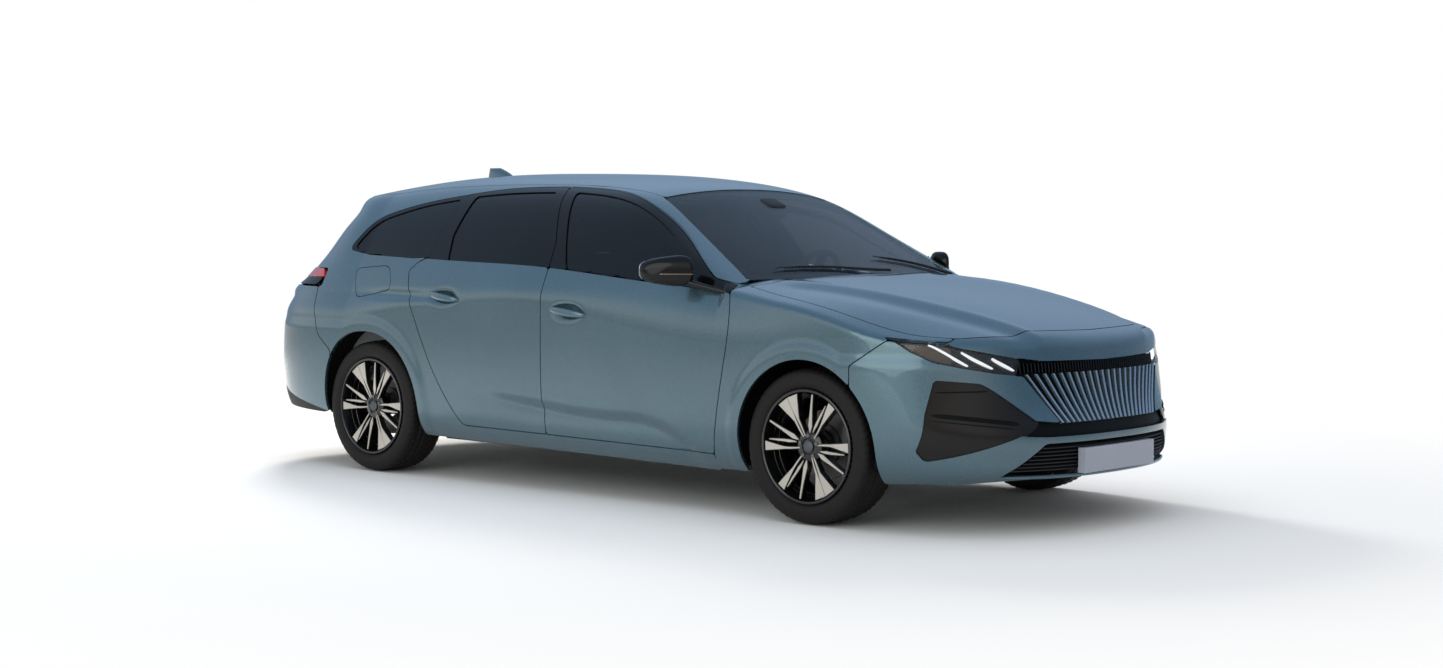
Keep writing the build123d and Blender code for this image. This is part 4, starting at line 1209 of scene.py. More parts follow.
@dataclass
class FrontEnd:
    """Front bumper skin with its openings, grille, intakes and headlamps."""

    wall: float = 14.0
    bar_count: int = 22
    bar_top: Pair = (45.4, 628.0)
    bar_foot: Pair = (32.2, 436.0)
    rib_count: int = 56
    rib_half: float = 3.0
    shell_start: float = 1700.0
    reflector_y: float = 742.0
    slat_pitch: float = 15.0

    def bottom(self, p: Array) -> Array:
        """Field that is positive below the bumper's lower edge, which rises to the front."""
        return 184 + 36 * step(p[..., 0], 1800, 2300) - p[..., 2]

    def build(self) -> None:
        """Make the pieces."""
        p = end_grid(1450, (-92, 92), (160, 812), spacing=12.0, shape=FORM.bonnet)
        x, a, z = xaz(p)
        holes = [edge(p) for edge in (GRILLE, SLOT, LOWER_INTAKE, SIDE_INTAKE, HEADLAMP)]
        skin = panel(p, *[1.5 - h for h in holes], GAP / 2 - FENDER(p), GAP / 2 - BONNET(p),
                     self.bottom(p), 1640 - x, -FORM.arch(x, z, True))
        piece("bumper_front_skin", skin, LACQUER,
              Make("body", self.wall, 1.5, hides=("front_bumper",)))
        behind = self.shell_start - x
        # The shells behind the grille, slot and lower intake are near black as painted shade of the
        # openings.
        backs = (("grille_shell", holes[0], 46.0, BLACK_AND_PAINTED_SHADE, ("grille",)),
                 ("slot_shell", holes[1], 22.0, BLACK_AND_PAINTED_SHADE, ()),
                 ("lower_intake_shell", holes[2], 48.0, BLACK_AND_PAINTED_SHADE, ("intake_grilles",)),
                 ("side_intake_shell", holes[3], 9.0, SMOKED, ()),
                 ("headlamp_bowl", holes[4], 34.0, BOWL, ()))
        for name, hole, depth, finish, hides in backs:
            back = inset(p[COARSE], depth, FORM.bonnet)
            piece(name, panel(back, (hole - 16)[COARSE], behind[COARSE]), finish,
                  Make("body", 4, 0.8, hides=hides))
        piece("headlamp_lens", panel(inset(p, 1.0, FORM.bonnet), holes[4] + 1, behind), LENS,
              Make("body", 3, 0.8, hides=("headlamps",)))
        reflector = panel(inset(p, 14, FORM.bonnet), holes[4] + 5, self.reflector_y - a, behind)
        piece("headlamp_reflector", reflector, AMBER, Make("body", 3, 0.8))
        self.bars()
        self.slats()
        self.guides()
        self.lip()
        self.intake_fins()

    def rail(self, y: Array, z: Array, out: float, half: Pair) -> Shape:
        """A bar that follows the skin across given Y and Z, standing out by a distance.

        Args:
            y: places across the car.
            z: heights there.
            out: how far its middle stands out.
            half: half depth and half height.

        Returns:
            The closed shape, blunt at both ends.
        """
        centre = self.ahead(y, z, -out)
        t = np.linspace(0, 1, len(y))
        end = np.maximum(1 - np.abs(2 * t - 1) ** 9, 0.01) ** 0.5
        return loft(centre, np.stack([half[0] * end, half[1] * end], 1), (0, 2, 1), 3.0, 20)

    def lip(self) -> None:
        """Body-coloured lip under the lower intake, bowed up at its ends."""
        y = np.linspace(-596, 596, 60)
        piece("bumper_lip", self.rail(y, 226 + 4 * (y / 596) ** 4, 2.0, (16, 8)), LACQUER,
              Make("body", smooth=60))

    def intake_fins(self) -> None:
        """Two level fins in each side intake."""
        for side in Side:
            runs = (((-796, -640), (562, 566), 2.5), ((-810, -540), (474, 438), 9.0),
                    ((-812, -560), (452, 420), 2.0))
            fins = [self.rail(np.linspace(*y, 24), np.linspace(*z, 24), -9.0, (4, thick))
                    for y, z, thick in runs]
            # The fins are near black as painted shade of the deep side intake.
            piece(f"side_intake_fins_{side.word}", combined(fins).on(side), BLACK_AND_PAINTED_SHADE,
                  Make("body", smooth=60))

    def ahead(self, y: Array, z: Array, depth: float = 0.0) -> Array:
        """Points of the skin in front of given Y and Z, moved inwards by depth.

        Args:
            y: places across the car.
            z: heights there.
            depth: how far inwards.

        Returns:
            Points of shape (..., 3).
        """
        start = stack(1500.0, y, z)
        way = stack(np.ones(start.shape[:-1]), 0.0, 0.0)
        return inset(cast(FORM.bonnet, start, way, 1000.0), depth, FORM.bonnet)

    def blade(self, y: Array, z: Array, depths: Pair, half: Array,
              taper: float = 1.0, rise: float = 0.0, upright: bool = False) -> Shape:
        """A four-sided blade that runs along the skin and stands square into it.

        Args:
            y: places across the car, from one end of the blade to the other.
            z: heights there.
            depths: depth of its front and back under the skin.
            half: half thickness as a vector, one or one a place.
            taper: share of the thickness that is left at the back.
            rise: how much higher its back lies than its front.
            upright: it runs up or down and not across, so its rings turn the other way.

        Returns:
            The closed shape.
        """
        front, back = self.ahead(y, z, depths[0]), self.ahead(y, z + rise, depths[1])
        thin = half * taper
        ring = np.stack([front - half, front + half, back + thin, back - thin], 1)
        return Shape.tube(ring[::-1] if upright else ring)

    def bars(self) -> None:
        """The fan of grille bars, each wider at its foot, and the short ribs over them."""
        t = np.linspace(0, 1, 14)
        bars, ribs = [], []
        thick = 5.4 + 2.6 * t
        half = np.stack([0 * t, thick, 0 * t], -1)
        (top_y, top_z), (foot_y, foot_z) = self.bar_top, self.bar_foot
        for i in np.arange(self.bar_count) - (self.bar_count - 1) / 2:
            y, z = i * (top_y + (foot_y - top_y) * t), top_z + (foot_z - top_z) * t
            bars.append(self.blade(y, z, (4.0, 20.0), half, 0.5, upright=True))
        # The bars' paler lacquer is painted highlight.
        piece("grille_bars", combined(bars), LACQUER_PAINTED_HIGHLIGHT, Make("body", 0, 0.8))
        z = np.linspace(632, 672, 4)
        half = np.array([0, self.rib_half, 0])
        for share in np.linspace(-1, 1, self.rib_count):
            ribs.append(self.blade(496 * share + 0 * z, z, (16.0, 40.0), half, upright=True))
        piece("grille_head_ribs", combined(ribs), PIANO, Make("body", 0, 0.5))

    def slats(self) -> None:
        """Level fins across the lower intake, rising to the back."""
        shapes = []
        for z in np.arange(247, 350, self.slat_pitch):
            reach = 588 - (z - 230) * 1.28
            y = np.linspace(-reach, reach, 60)
            shapes.append(self.blade(y, z + 0 * y, (10.0, 40.0), np.array([0, 0, 2.0]), rise=5.0))
        piece("lower_intake_slats", combined(shapes), PLASTIC, Make("body", 0, 0.6))

    def guides(self) -> None:
        """Three lit claws in each headlamp, from upper rear to lower front."""
        claws = (((797, 749), (696, 665)), ((710, 717), (610, 653)), ((606, 693), (525, 644)))
        t = np.linspace(0, 1, 20)
        for side in Side:
            shapes = []
            for (y0, z0), (y1, z1) in claws:
                y, z = -(y0 + (y1 - y0) * t), z0 + (z1 - z0) * t ** 0.9
                thick = 4.6 * np.sin(np.pi * np.clip(t * 0.9 + 0.08, 0, 1)) ** 0.4 + 0.5
                half = np.stack([0 * t, 0.35 * thick, thick], -1)
                shapes.append(self.blade(y, z, (13.0, 26.0), half))
            piece(f"headlamp_guides_{side.word}", combined(shapes).on(side), GUIDE,
                  Make("body", 0, 0.6))


def tailgate_fields(p: Array) -> tuple[Array, Array, Array]:
    """Fields of the whole tailgate, of its flat rear part and of its glass.

    Args:
        p: points of shape (..., 3).

    Returns:
        The three fields.
    """
    door = TAILGATE_END(p)
    glass = np.where(p[..., 2] > GLASS_FOOT, REAR_SCREEN(p), NOWHERE)
    return np.minimum(TAILGATE_SIDE(p), door), door, glass


@dataclass
class RearEnd:
    """Tailgate with its spoiler and glass, tail lamps and rear bumper."""

    wall: float = 14.0
    split: float = 1334.0
    band_middle: float = 935.0
    band_half: float = 43.0
    lamp_parting: float = 928.0
    bumper_top: float = 888.0
    foot_top: Curve = Curve((
        (1600, 262), (1850, 312), (2050, 366), (2150, 418), (2260, 492), (2330, 556)))
    foot_bottom: Curve = Curve(((1600, 262), (2250, 290), (2330, 296)))

    def build(self) -> None:
        """Make the pieces."""
        t = top_grid((-1940, -1680), 720.0, spacing=12.0, shape=FORM.cabin)
        cap = panel(t, TAILGATE_SIDE(t) + GAP / 2, self.split - t[..., 2])
        piece("tailgate_spoiler", cap, LACQUER, Make("tailgate_lid", self.wall, 1.5))
        p = end_grid(-1450, (92, 268), (170, 1352), spacing=13.0)
        x, a, z = xaz(p)
        lid, door, glass = tailgate_fields(p)
        band = np.where(a < LID_HALF, np.abs(z - self.band_middle) - self.band_half, NOWHERE)
        skin = panel(p, lid + GAP / 2, 1.5 - glass, 0.6 - band, z - self.split)
        piece("tailgate_skin", skin, LACQUER,
              Make("tailgate_lid", self.wall, 1.5, hides=("tailgate",)))
        piece("tailgate_pane", panel(inset(p, 5), glass - 6), TINTED,
              Make("tailgate_lid", 4, 0.8, hides=("tailgate_glass",)))
        piece("tailgate_light_band", panel(inset(p, 2.0), band + 0.2, door + GAP / 2), PIANO,
              Make("tailgate_lid", 8, 1.0))
        lamp = [TAIL_LAMP(p) + 1, GAP / 2 - door, LID_HALF - 2 - a]
        parting = self.lamp_parting + 6 * step(a, 700, 830) - z
        piece("tail_lamp_lenses", panel(inset(p, -4), *lamp, parting), RED,
              Make("body", 20, 3.0, hides=("tail_lamps",)))
        piece("tail_lamp_bases", panel(inset(p, -2), *lamp, 1 - parting), PIANO,
              Make("body", 18, 2.0))
        foot = z - self.foot_top(-x)
        bumper = [REAR_CORNER(p) + GAP / 2, GAP / 2 - lid, z - self.bumper_top,
                  1 - TAIL_LAMP(p), -FORM.arch(x, z, False), self.foot_bottom(-x) - z]
        piece("bumper_rear_skin", panel(p, *bumper, 0.5 - foot), LACQUER,
              Make("body", self.wall, 1.5, hides=("rear_bumper",)))
        piece("bumper_rear_foot", panel(inset(p, 3), *bumper, foot + 0.5), PLASTIC,
              Make("body", 8, 1.5))


# ---------------- behind the panels


def depth_from_side(points: Array, depth: Array | float) -> Array:
    """Points of the right side moved towards the middle plane."""
    return points + stack(0.0, depth, 0.0 * points[..., 0])


@dataclass
class ArchLiners:
    """Barrel liners over the wheels, each with a ring-shaped inner wall."""

    inner_front: float = 470.0
    inner_rear: float = 630.0
    grow_front: float = 58.0
    grow_rear: float = 24.0
    lip: float = 9.0
    hole: float = 0.45

    def liner(self, front: bool) -> Shape:
        """One right liner, cast from the axle to a curve just outside the arch's edge.

        Args:
            front: the front liner and not the rear one.

        Returns:
            The sheet: inner wall, barrel and the turned-in lip.
        """
        middle = FORM.front_axle if front else FORM.rear_axle
        inner, grow = ((self.inner_front, self.grow_front) if front
                       else (self.inner_rear, self.grow_rear))
        turn = np.radians(np.linspace(-16, 196 if front else 189, 80))[:, None]

        start = stack(middle, 0.0, FORM.axle_height + 0 * turn)
        way = stack(np.cos(turn), 0.0, np.sin(turn))
        narrow, wide = (
            cast(lambda p: FORM.arch(p[..., 0], p[..., 2], front) - out, start, way, 900.0)
            for out in (self.lip, grow))
        reach = [np.abs(side_skin(q)) for q in (narrow, wide)]
        outer = np.minimum(np.minimum(*reach) - 12, 890)
        u = np.array([0, 0.02, 0.2, 0.4, 0.6, 0.8, 0.9, 0.94, 0.97, 0.985, 1.0])[None, :]
        share = step(u, 0.9, 0.985)[..., None]
        barrel = wide + (narrow - wide) * share
        barrel[..., 1] = -(inner + (outer - inner) * u)
        hub = np.array([middle, 0, FORM.axle_height])
        wall = hub + (wide - hub) * np.array([self.hole, 0.65, 0.85])[None, :, None]
        wall[..., 1] = -inner
        return Shape.sheet(np.concatenate([wall, barrel], 1))

    def build(self) -> None:
        """Make the four liners."""
        for front in (True, False):
            shape = self.liner(front)
            for side in Side:
                hides = ("wheel_arch_liners",) if front and side is Side.RIGHT else ()
                piece(f"arch_liner_{'front' if front else 'rear'}_{side.word}", shape.on(side),
                      SEAL, Make("body", 4, smooth=50, hides=hides))


def side_skin(points: Array, shape: Field = FORM.bonnet) -> Array:
    """Y of the right skin at the X and Z of some points.

    Args:
        points: points whose X and Z count.
        shape: the field that is hit.

    Returns:
        The Y at each point.
    """
    start = points * [1, 0, 1]
    way = stack(0.0, -1.0, 0.0 * points[..., 0])
    return cast(shape, start, way)[..., 1]


@dataclass
class EngineBay:
    """Gutter under the bonnet's seam, side walls, bumper beam and radiator."""

    gutter_depth: float = 36.0
    wall_y: float = 448.0

    def build(self) -> None:
        """Make the pieces."""
        b = top_grid((1130, 2190), 850.0, spacing=26.0, shape=FORM.bonnet)
        edge, a = BONNET(b), np.abs(b[..., 1])
        opening = np.where(b[..., 0] < 1790, self.wall_y - a, -edge - 120)
        gutter = panel(inset(b, self.gutter_depth, FORM.bonnet), edge - 22, opening)
        piece("bonnet_gutter", gutter, PLASTIC, Make("body", 3, 0.8, hides=("front_frame",)))
        x = lane(1040, 1800, 40)[:, None]
        t = np.linspace(0, 1, 12)[None, :]
        top = FORM.hood(x, np.full(x.shape, self.wall_y)) - self.gutter_depth - 2
        wall = stack(x, -self.wall_y + 14 * np.sin(np.pi * t) + 0 * x, 300 + (top - 300) * t)
        for side in Side:
            piece(f"engine_bay_wall_{side.word}", Shape.sheet(wall).on(side), LACQUER,
                  Make("body", 3, 0.8))
        y = np.linspace(-540, 540, 40)
        blunt = np.maximum(1 - np.abs(y / 540) ** 12, 0.05) ** 0.5
        beam = loft(stack(2142 - 20 * (y / 540) ** 2, y, 515.0),
                    np.stack([20 * blunt, 34 * blunt], 1), (0, 2, 1), 4.0, 28)
        core = loft(stack(2074.0, y * 0.8, 470.0), np.stack([15 * blunt, 190 * blunt], 1),
                    (0, 2, 1), 7.0, 36)
        piece("bumper_beam", beam, CAST, Make("body", smooth=50))
        # The radiator is near black as painted shade behind the grille.
        piece("radiator", core, BLACK_AND_PAINTED_SHADE, Make("body", smooth=50))


@dataclass
class Doorways:
    """Painted frame round both doors of a side, with the pillar between them."""

    frame_depth: float = 66.0
    opening: float = 52.0
    edge_start: float = 9.0

    def build(self, panels: SidePanels) -> None:
        """Make the frames and their edge strips.

        Args:
            panels: the side whose grid is used again.
        """
        p = panels.grid[COARSE]
        x, _, z = xaz(p)
        front, rear = FRONT_DOOR(p), REAR_DOOR(p)
        frame_sheet = panel(inset(p, self.frame_depth), np.minimum(front, rear) - 8,
                            -self.opening - front, -self.opening - rear,
                            12 - FORM.arch(x, z, False), 185 - z)
        front_run = [q for q in FRONT_DOOR.points if q not in PILLAR[1:3]]
        loop = rounded(front_run[:-1] + list(REAR_DOOR.points[len(PILLAR):]), 10.0)
        keep = np.linalg.norm(np.roll(loop, -1, 0) - loop, axis=1) > 0.5
        loop = loop[keep]
        along = np.roll(loop, -1, 0) - np.roll(loop, 1, 0)
        along /= np.linalg.norm(along, axis=1, keepdims=True)
        loop = loop + np.stack([along[:, 1], -along[:, 0]], 1) * -3.5
        start = stack(loop[:, 0], 0.0, loop[:, 1])
        skin = side_skin(start, FORM.body)
        depth = np.linspace(self.edge_start, self.frame_depth + 2, 5)
        strip = Shape.sheet(stack(loop[:, 0][:, None], skin[:, None] + depth[None, :],
                                  loop[:, 1][:, None]), (True, False))
        for side in Side:
            piece(f"door_frame_{side.word}", frame_sheet.on(side), LACQUER, Make("body", 3, 0.8))
            piece(f"door_edge_{side.word}", strip.on(side), LACQUER, Make("body", 2))


@dataclass
class Luggage:
    """Trim of the luggage space and of the tailgate's inside."""

    side_depth: float = 150.0
    floor_z: float = 545.0
    lid_trim: float = 26.0

    def build(self, panels: SidePanels) -> None:
        """Make the side trims, the load floor and the tailgate's trim.

        Args:
            panels: the side whose grid is used again.
        """
        p = panels.grid[COARSE]
        x, _, z = xaz(p)
        trim = panel(depth_from_side(p, self.side_depth), x + 1240, -x - 1990, 430 - z, z - 1030)
        for side in Side:
            piece(f"luggage_side_{side.word}", trim.on(side), FELT, Make("body", 4, 1.0))
        x, y = lane(-2180, -1240, 40)[:, None], lane(-745, 745, 40)[None, :]
        flat = stack(x, y, self.floor_z + 2.0 * np.cos(y / 60.0) + 0 * x)
        piece("luggage_floor", panel(flat, FORM.body(flat) + 60), FELT, Make("body", 8, 1.5))
        q = end_grid(-1450, (92, 268), (660, 1330), spacing=22.0)
        lid, _, glass = tailgate_fields(q)
        trim = panel(inset(q, self.lid_trim), lid + self.lid_trim, 8 - glass, q[..., 2] - 1316)
        piece("tailgate_trim", trim, FOIL, Make("tailgate_lid", 5, 1.0))


# ---------------- wheels


@dataclass(frozen=True)
class Spoke:
    """A spoke as angle in degrees and half width in millimetres at three radii."""

    radii: tuple[float, ...]
    angles: tuple[float, ...]
    halves: tuple[float, ...]


WEDGE_RADII = (215.0, 170.0, 118.0, 44.0)
SPOKES = (
    Spoke(WEDGE_RADII, (110.4, 111.9, 114.2, 112.0), (26.5, 17.0, 5.0, 2.2)),
    Spoke(WEDGE_RADII, (125.2, 123.9, 121.8, 124.0), (26.5, 17.0, 5.0, 2.2)),
    Spoke(WEDGE_RADII, (53.0, 52.6, 52.0, 49.0), (19.0, 12.0, 4.0, 2.4)),
    Spoke(WEDGE_RADII, (2.5, 3.6, 6.0, 9.0), (19.0, 12.0, 4.5, 2.4)),
    Spoke((196.0, 150.0, 96.0, 62.0), (60.0, 61.0, 64.0, 68.0), (1.5, 4.0, 5.5, 1.0)),
    Spoke((196.0, 150.0, 96.0, 62.0), (-5.5, -7.0, -10.0, -14.0), (1.5, 4.0, 5.5, 1.0)),
    Spoke((214.0, 150.0, 84.0, 56.0), (82.0, 82.0, 82.0, 82.0), (3.4, 5.0, 9.5, 1.2)),
    Spoke((214.0, 150.0, 84.0, 56.0), (334.0, 334.0, 334.0, 334.0), (3.4, 5.0, 9.5, 1.2)))


@dataclass
class Wheel:
    """A wheel: tyre with tread, black cast rim with turned faces, and brake disc."""

    x: float
    word: str
    middle: float = 779.5
    flange: float = 884.0
    blocks: int = 64

    def turned(self, profile: Array, count: int = 96) -> Array:
        """Points of a profile (radius, depth) turned round the axle, seam at the end.

        Args:
            profile: (radius, depth) pairs, shape (n, 2).
            count: steps of the turn.

        Returns:
            Points of shape (count, n, 3).
        """
        turn = np.linspace(0, 2 * np.pi, count, endpoint=False)[:, None]
        return stack(self.x + profile[None, :, 0] * np.cos(turn), -profile[None, :, 1] + 0 * turn,
                     FORM.axle_height + profile[None, :, 0] * np.sin(turn))

    def tyre(self) -> Shape:
        """Tyre whose tread radius drops in ring grooves and in slanted cross grooves.

        Returns:
            The closed ring.
        """
        half = np.array([[234, -92], [240, -101], [250, -107], [262, -109.5], [276, -109],
                         [290, -107], [299, -103.5], [305.5, -98.5], [310, -92]])
        side = np.stack([Curve(tuple(enumerate(half[:, k])))(np.linspace(0, 8, 11))
                         for k in (0, 1)], 1)
        across = np.linspace(-88, 88, 33)
        crown = np.stack([312 + 5 * (1 - (across / 88) ** 2), across], 1)
        other = side[::-1] * [1, -1]
        profile = np.concatenate([side, crown, other])
        profile[:, 1] += self.middle
        points = self.turned(profile, self.blocks * 4)
        offset = profile[:, 1] - self.middle
        rings = np.exp(-(np.subtract.outer(offset, [-52.0, -18.0, 18.0, 52.0]) / 4.5) ** 4).sum(1)
        turn = np.linspace(0, self.blocks, self.blocks * 4, endpoint=False)[:, None]
        slant = turn + np.abs(offset)[None, :] / 55
        cross = np.exp(-((slant % 1 - 0.5) / 0.16) ** 4) * step(np.abs(offset), 16, 22)
        cross = cross * (1 - step(np.abs(offset), 99, 104))
        drop = np.maximum(5.5 * rings[None, :] + 0 * turn, 4.0 * cross)
        middle = np.array([self.x, 0, FORM.axle_height])
        out = points - middle
        out[..., 1] = 0
        out /= np.linalg.norm(out, axis=-1, keepdims=True)
        return Shape.sheet(points - out * drop[..., None], (True, False))

    def face(self, radius: Array) -> Array:
        """Depth of the spokes' outer face: a shallow dish that is deepest at the hub."""
        return self.flange - 4 - 20 * (1 - np.clip(radius / 214, 0, 1)) ** 1.3

    def spoke(self, spoke: Spoke, turn: float, grow: float, low: float, high: float) -> Shape:
        """One spoke between two depths under the face.

        Args:
            spoke: its angles and widths.
            turn: angle added, in degrees.
            grow: added to its half width and its ends.
            low: depth of its outer side under the face.
            high: depth of its inner side under the face.

        Returns:
            The closed shape.
        """
        stations = np.linspace(0, len(spoke.radii) - 1, 13)
        known = np.arange(len(spoke.radii))
        r = np.interp(stations, known, spoke.radii)
        angle = np.radians(np.interp(stations, known, spoke.angles) + turn)
        half = np.interp(stations, known, spoke.halves) + grow
        centre = np.stack([np.cos(angle), np.sin(angle)], -1) * r[:, None]
        across = np.stack([-np.sin(angle), np.cos(angle)], -1) * half[:, None]
        corners = []
        for sign, depth in ((1, low), (-1, low), (-1, high), (1, high)):
            flat = centre + sign * across
            flat *= (np.minimum(np.hypot(*flat.T), 216.5) / np.hypot(*flat.T))[:, None]
            corners.append(stack(self.x + flat[:, 0], -(self.face(r) - depth),
                                 FORM.axle_height + flat[:, 1]))
        return Shape.tube(np.stack(corners, 1))

    def build(self, side: Side) -> None:
        """Make the wheel's pieces on one side.

        Args:
            side: which side.
        """
        key, body = f"{self.word}_{side.word}", f"{self.word}_wheel_{side.word}"
        piece(f"tyre_tread_{key}", self.tyre().on(side), RUBBER,
              Make(body, smooth=28, hides=(f"tyre_{key}",)))
        barrel = np.array([[232.5, 880], [231, 884], [226, 885.5], [221.5, 884], [219.5, 878],
                           [215, 866], [208.5, 846], [206, 840], [200, 824], [197, 800],
                           [196, 740], [203, 705], [214, 694], [232.5, 690], [233, 700],
                           [206, 716], [200, 745], [201, 800], [204, 822], [212, 842],
                           [222, 862], [232.5, 870]])
        shape = Shape.sheet(self.turned(barrel, 120), (True, True)).on(side)
        piece(f"rim_barrel_{key}", shape, WHEEL_BLACK, Make(body, hides=(f"rim_{key}",)))
        lines = []
        for radius, depth in ((206.4, 839.0), (198.6, 815.0)):
            ring = np.array([[radius, depth - 1.4], [radius + 0.9, depth], [radius, depth + 1.4],
                             [radius - 0.9, depth]])
            lines.append(Shape.sheet(self.turned(ring, 120), (True, True)))
        piece(f"rim_turned_lines_{key}", combined(lines).on(side), MACHINED, Make(body))
        bodies = [self.spoke(s, turn, 3.0, 1.2, 30.0) for s in SPOKES for turn in (0, 180)]
        faces = [self.spoke(s, turn, 0.0, 0.0, 3.0) for s in SPOKES for turn in (0, 180)]
        piece(f"rim_spokes_{key}", combined(bodies).on(side), WHEEL_BLACK,
              Make(body, edge=1.0, smooth=30))
        piece(f"rim_turned_faces_{key}", combined(faces).on(side), MACHINED,
              Make(body, edge=0.5, smooth=30))
        self.hub(side, key, body)

    def hub(self, side: Side, key: str, body: str) -> None:
        """Hub with five bolts, bare cap, and the disc behind.

        Args:
            side: which side.
            key: ending of the pieces' names.
            body: the body that they ride on.
        """
        hub = np.array([[0.01, 868], [24, 868], [25, 867], [26, 862], [30, 862], [33, 866],
                        [52, 865], [64, 858], [68, 846], [66, 800], [40, 770], [0.01, 770]])
        piece(f"rim_hub_{key}", Shape.sheet(self.turned(hub, 80), (True, False)).on(side),
              WHEEL_BLACK, Make(body, weld=True))
        cap = np.array([[0.01, 872.5], [12, 872.2], [22, 870.4], [25.2, 867.5], [25.2, 860]])
        piece(f"rim_cap_{key}", Shape.sheet(self.turned(cap, 64), (True, False)).on(side),
              CAST, Make(body, weld=True))
        bolts = []
        for turn in np.radians(np.arange(5) * 72 + 18):
            t = np.linspace(0, 2 * np.pi, 6, endpoint=False)[None, :]
            ring = stack(self.x + 44 * np.cos(turn) + 8.5 * np.cos(t), [[-852.0], [-870.0]],
                         FORM.axle_height + 44 * np.sin(turn) + 8.5 * np.sin(t))
            bolts.append(Shape.tube(ring))
        piece(f"rim_bolts_{key}", combined(bolts).on(side), STEEL, Make(body, edge=0.8))
        disc = np.array([[60, 768], [82, 768], [84, 753], [141, 753], [142, 751], [142, 742],
                         [141, 740], [84, 740], [60, 738]])
        piece(f"brake_disc_{key}", Shape.sheet(self.turned(disc, 96), (True, True)).on(side),
              DISC, Make(body))


# ---------------- small outer pieces


def superellipse(count: int, power: float) -> tuple[Array, Array]:
    """Cosine-like and sine-like values round a superellipse of the given power.

    Args:
        count: how many points.
        power: the superellipse's power.

    Returns:
        The two runs of values.
    """
    t = np.linspace(0, 2 * np.pi, count, endpoint=False)
    c, s = np.cos(t), np.sin(t)
    return (np.sign(c) * np.abs(c) ** (2 / power), np.sign(s) * np.abs(s) ** (2 / power))


def loft(centres: Array, halves: Array, axes: tuple[int, int, int], power: float = 2.6,
         count: int = 40) -> Shape:
    """Closed body of superellipse sections.

    Args:
        centres: section centres, shape (sections, 3).
        halves: half sizes of the sections along the first two axes, shape (sections, 2).
        axes: the two axes of a section and the axis along the body.
        power: the superellipse's power.
        count: points of a section.

    Returns:
        The closed shape.
    """
    c, s = superellipse(count, power)
    rings = np.repeat(centres[:, None, :].astype(float), count, 1)
    rings[..., axes[0]] += halves[:, :1] * c[None, :]
    rings[..., axes[1]] += halves[:, 1:] * s[None, :]
    return Shape.tube(rings)


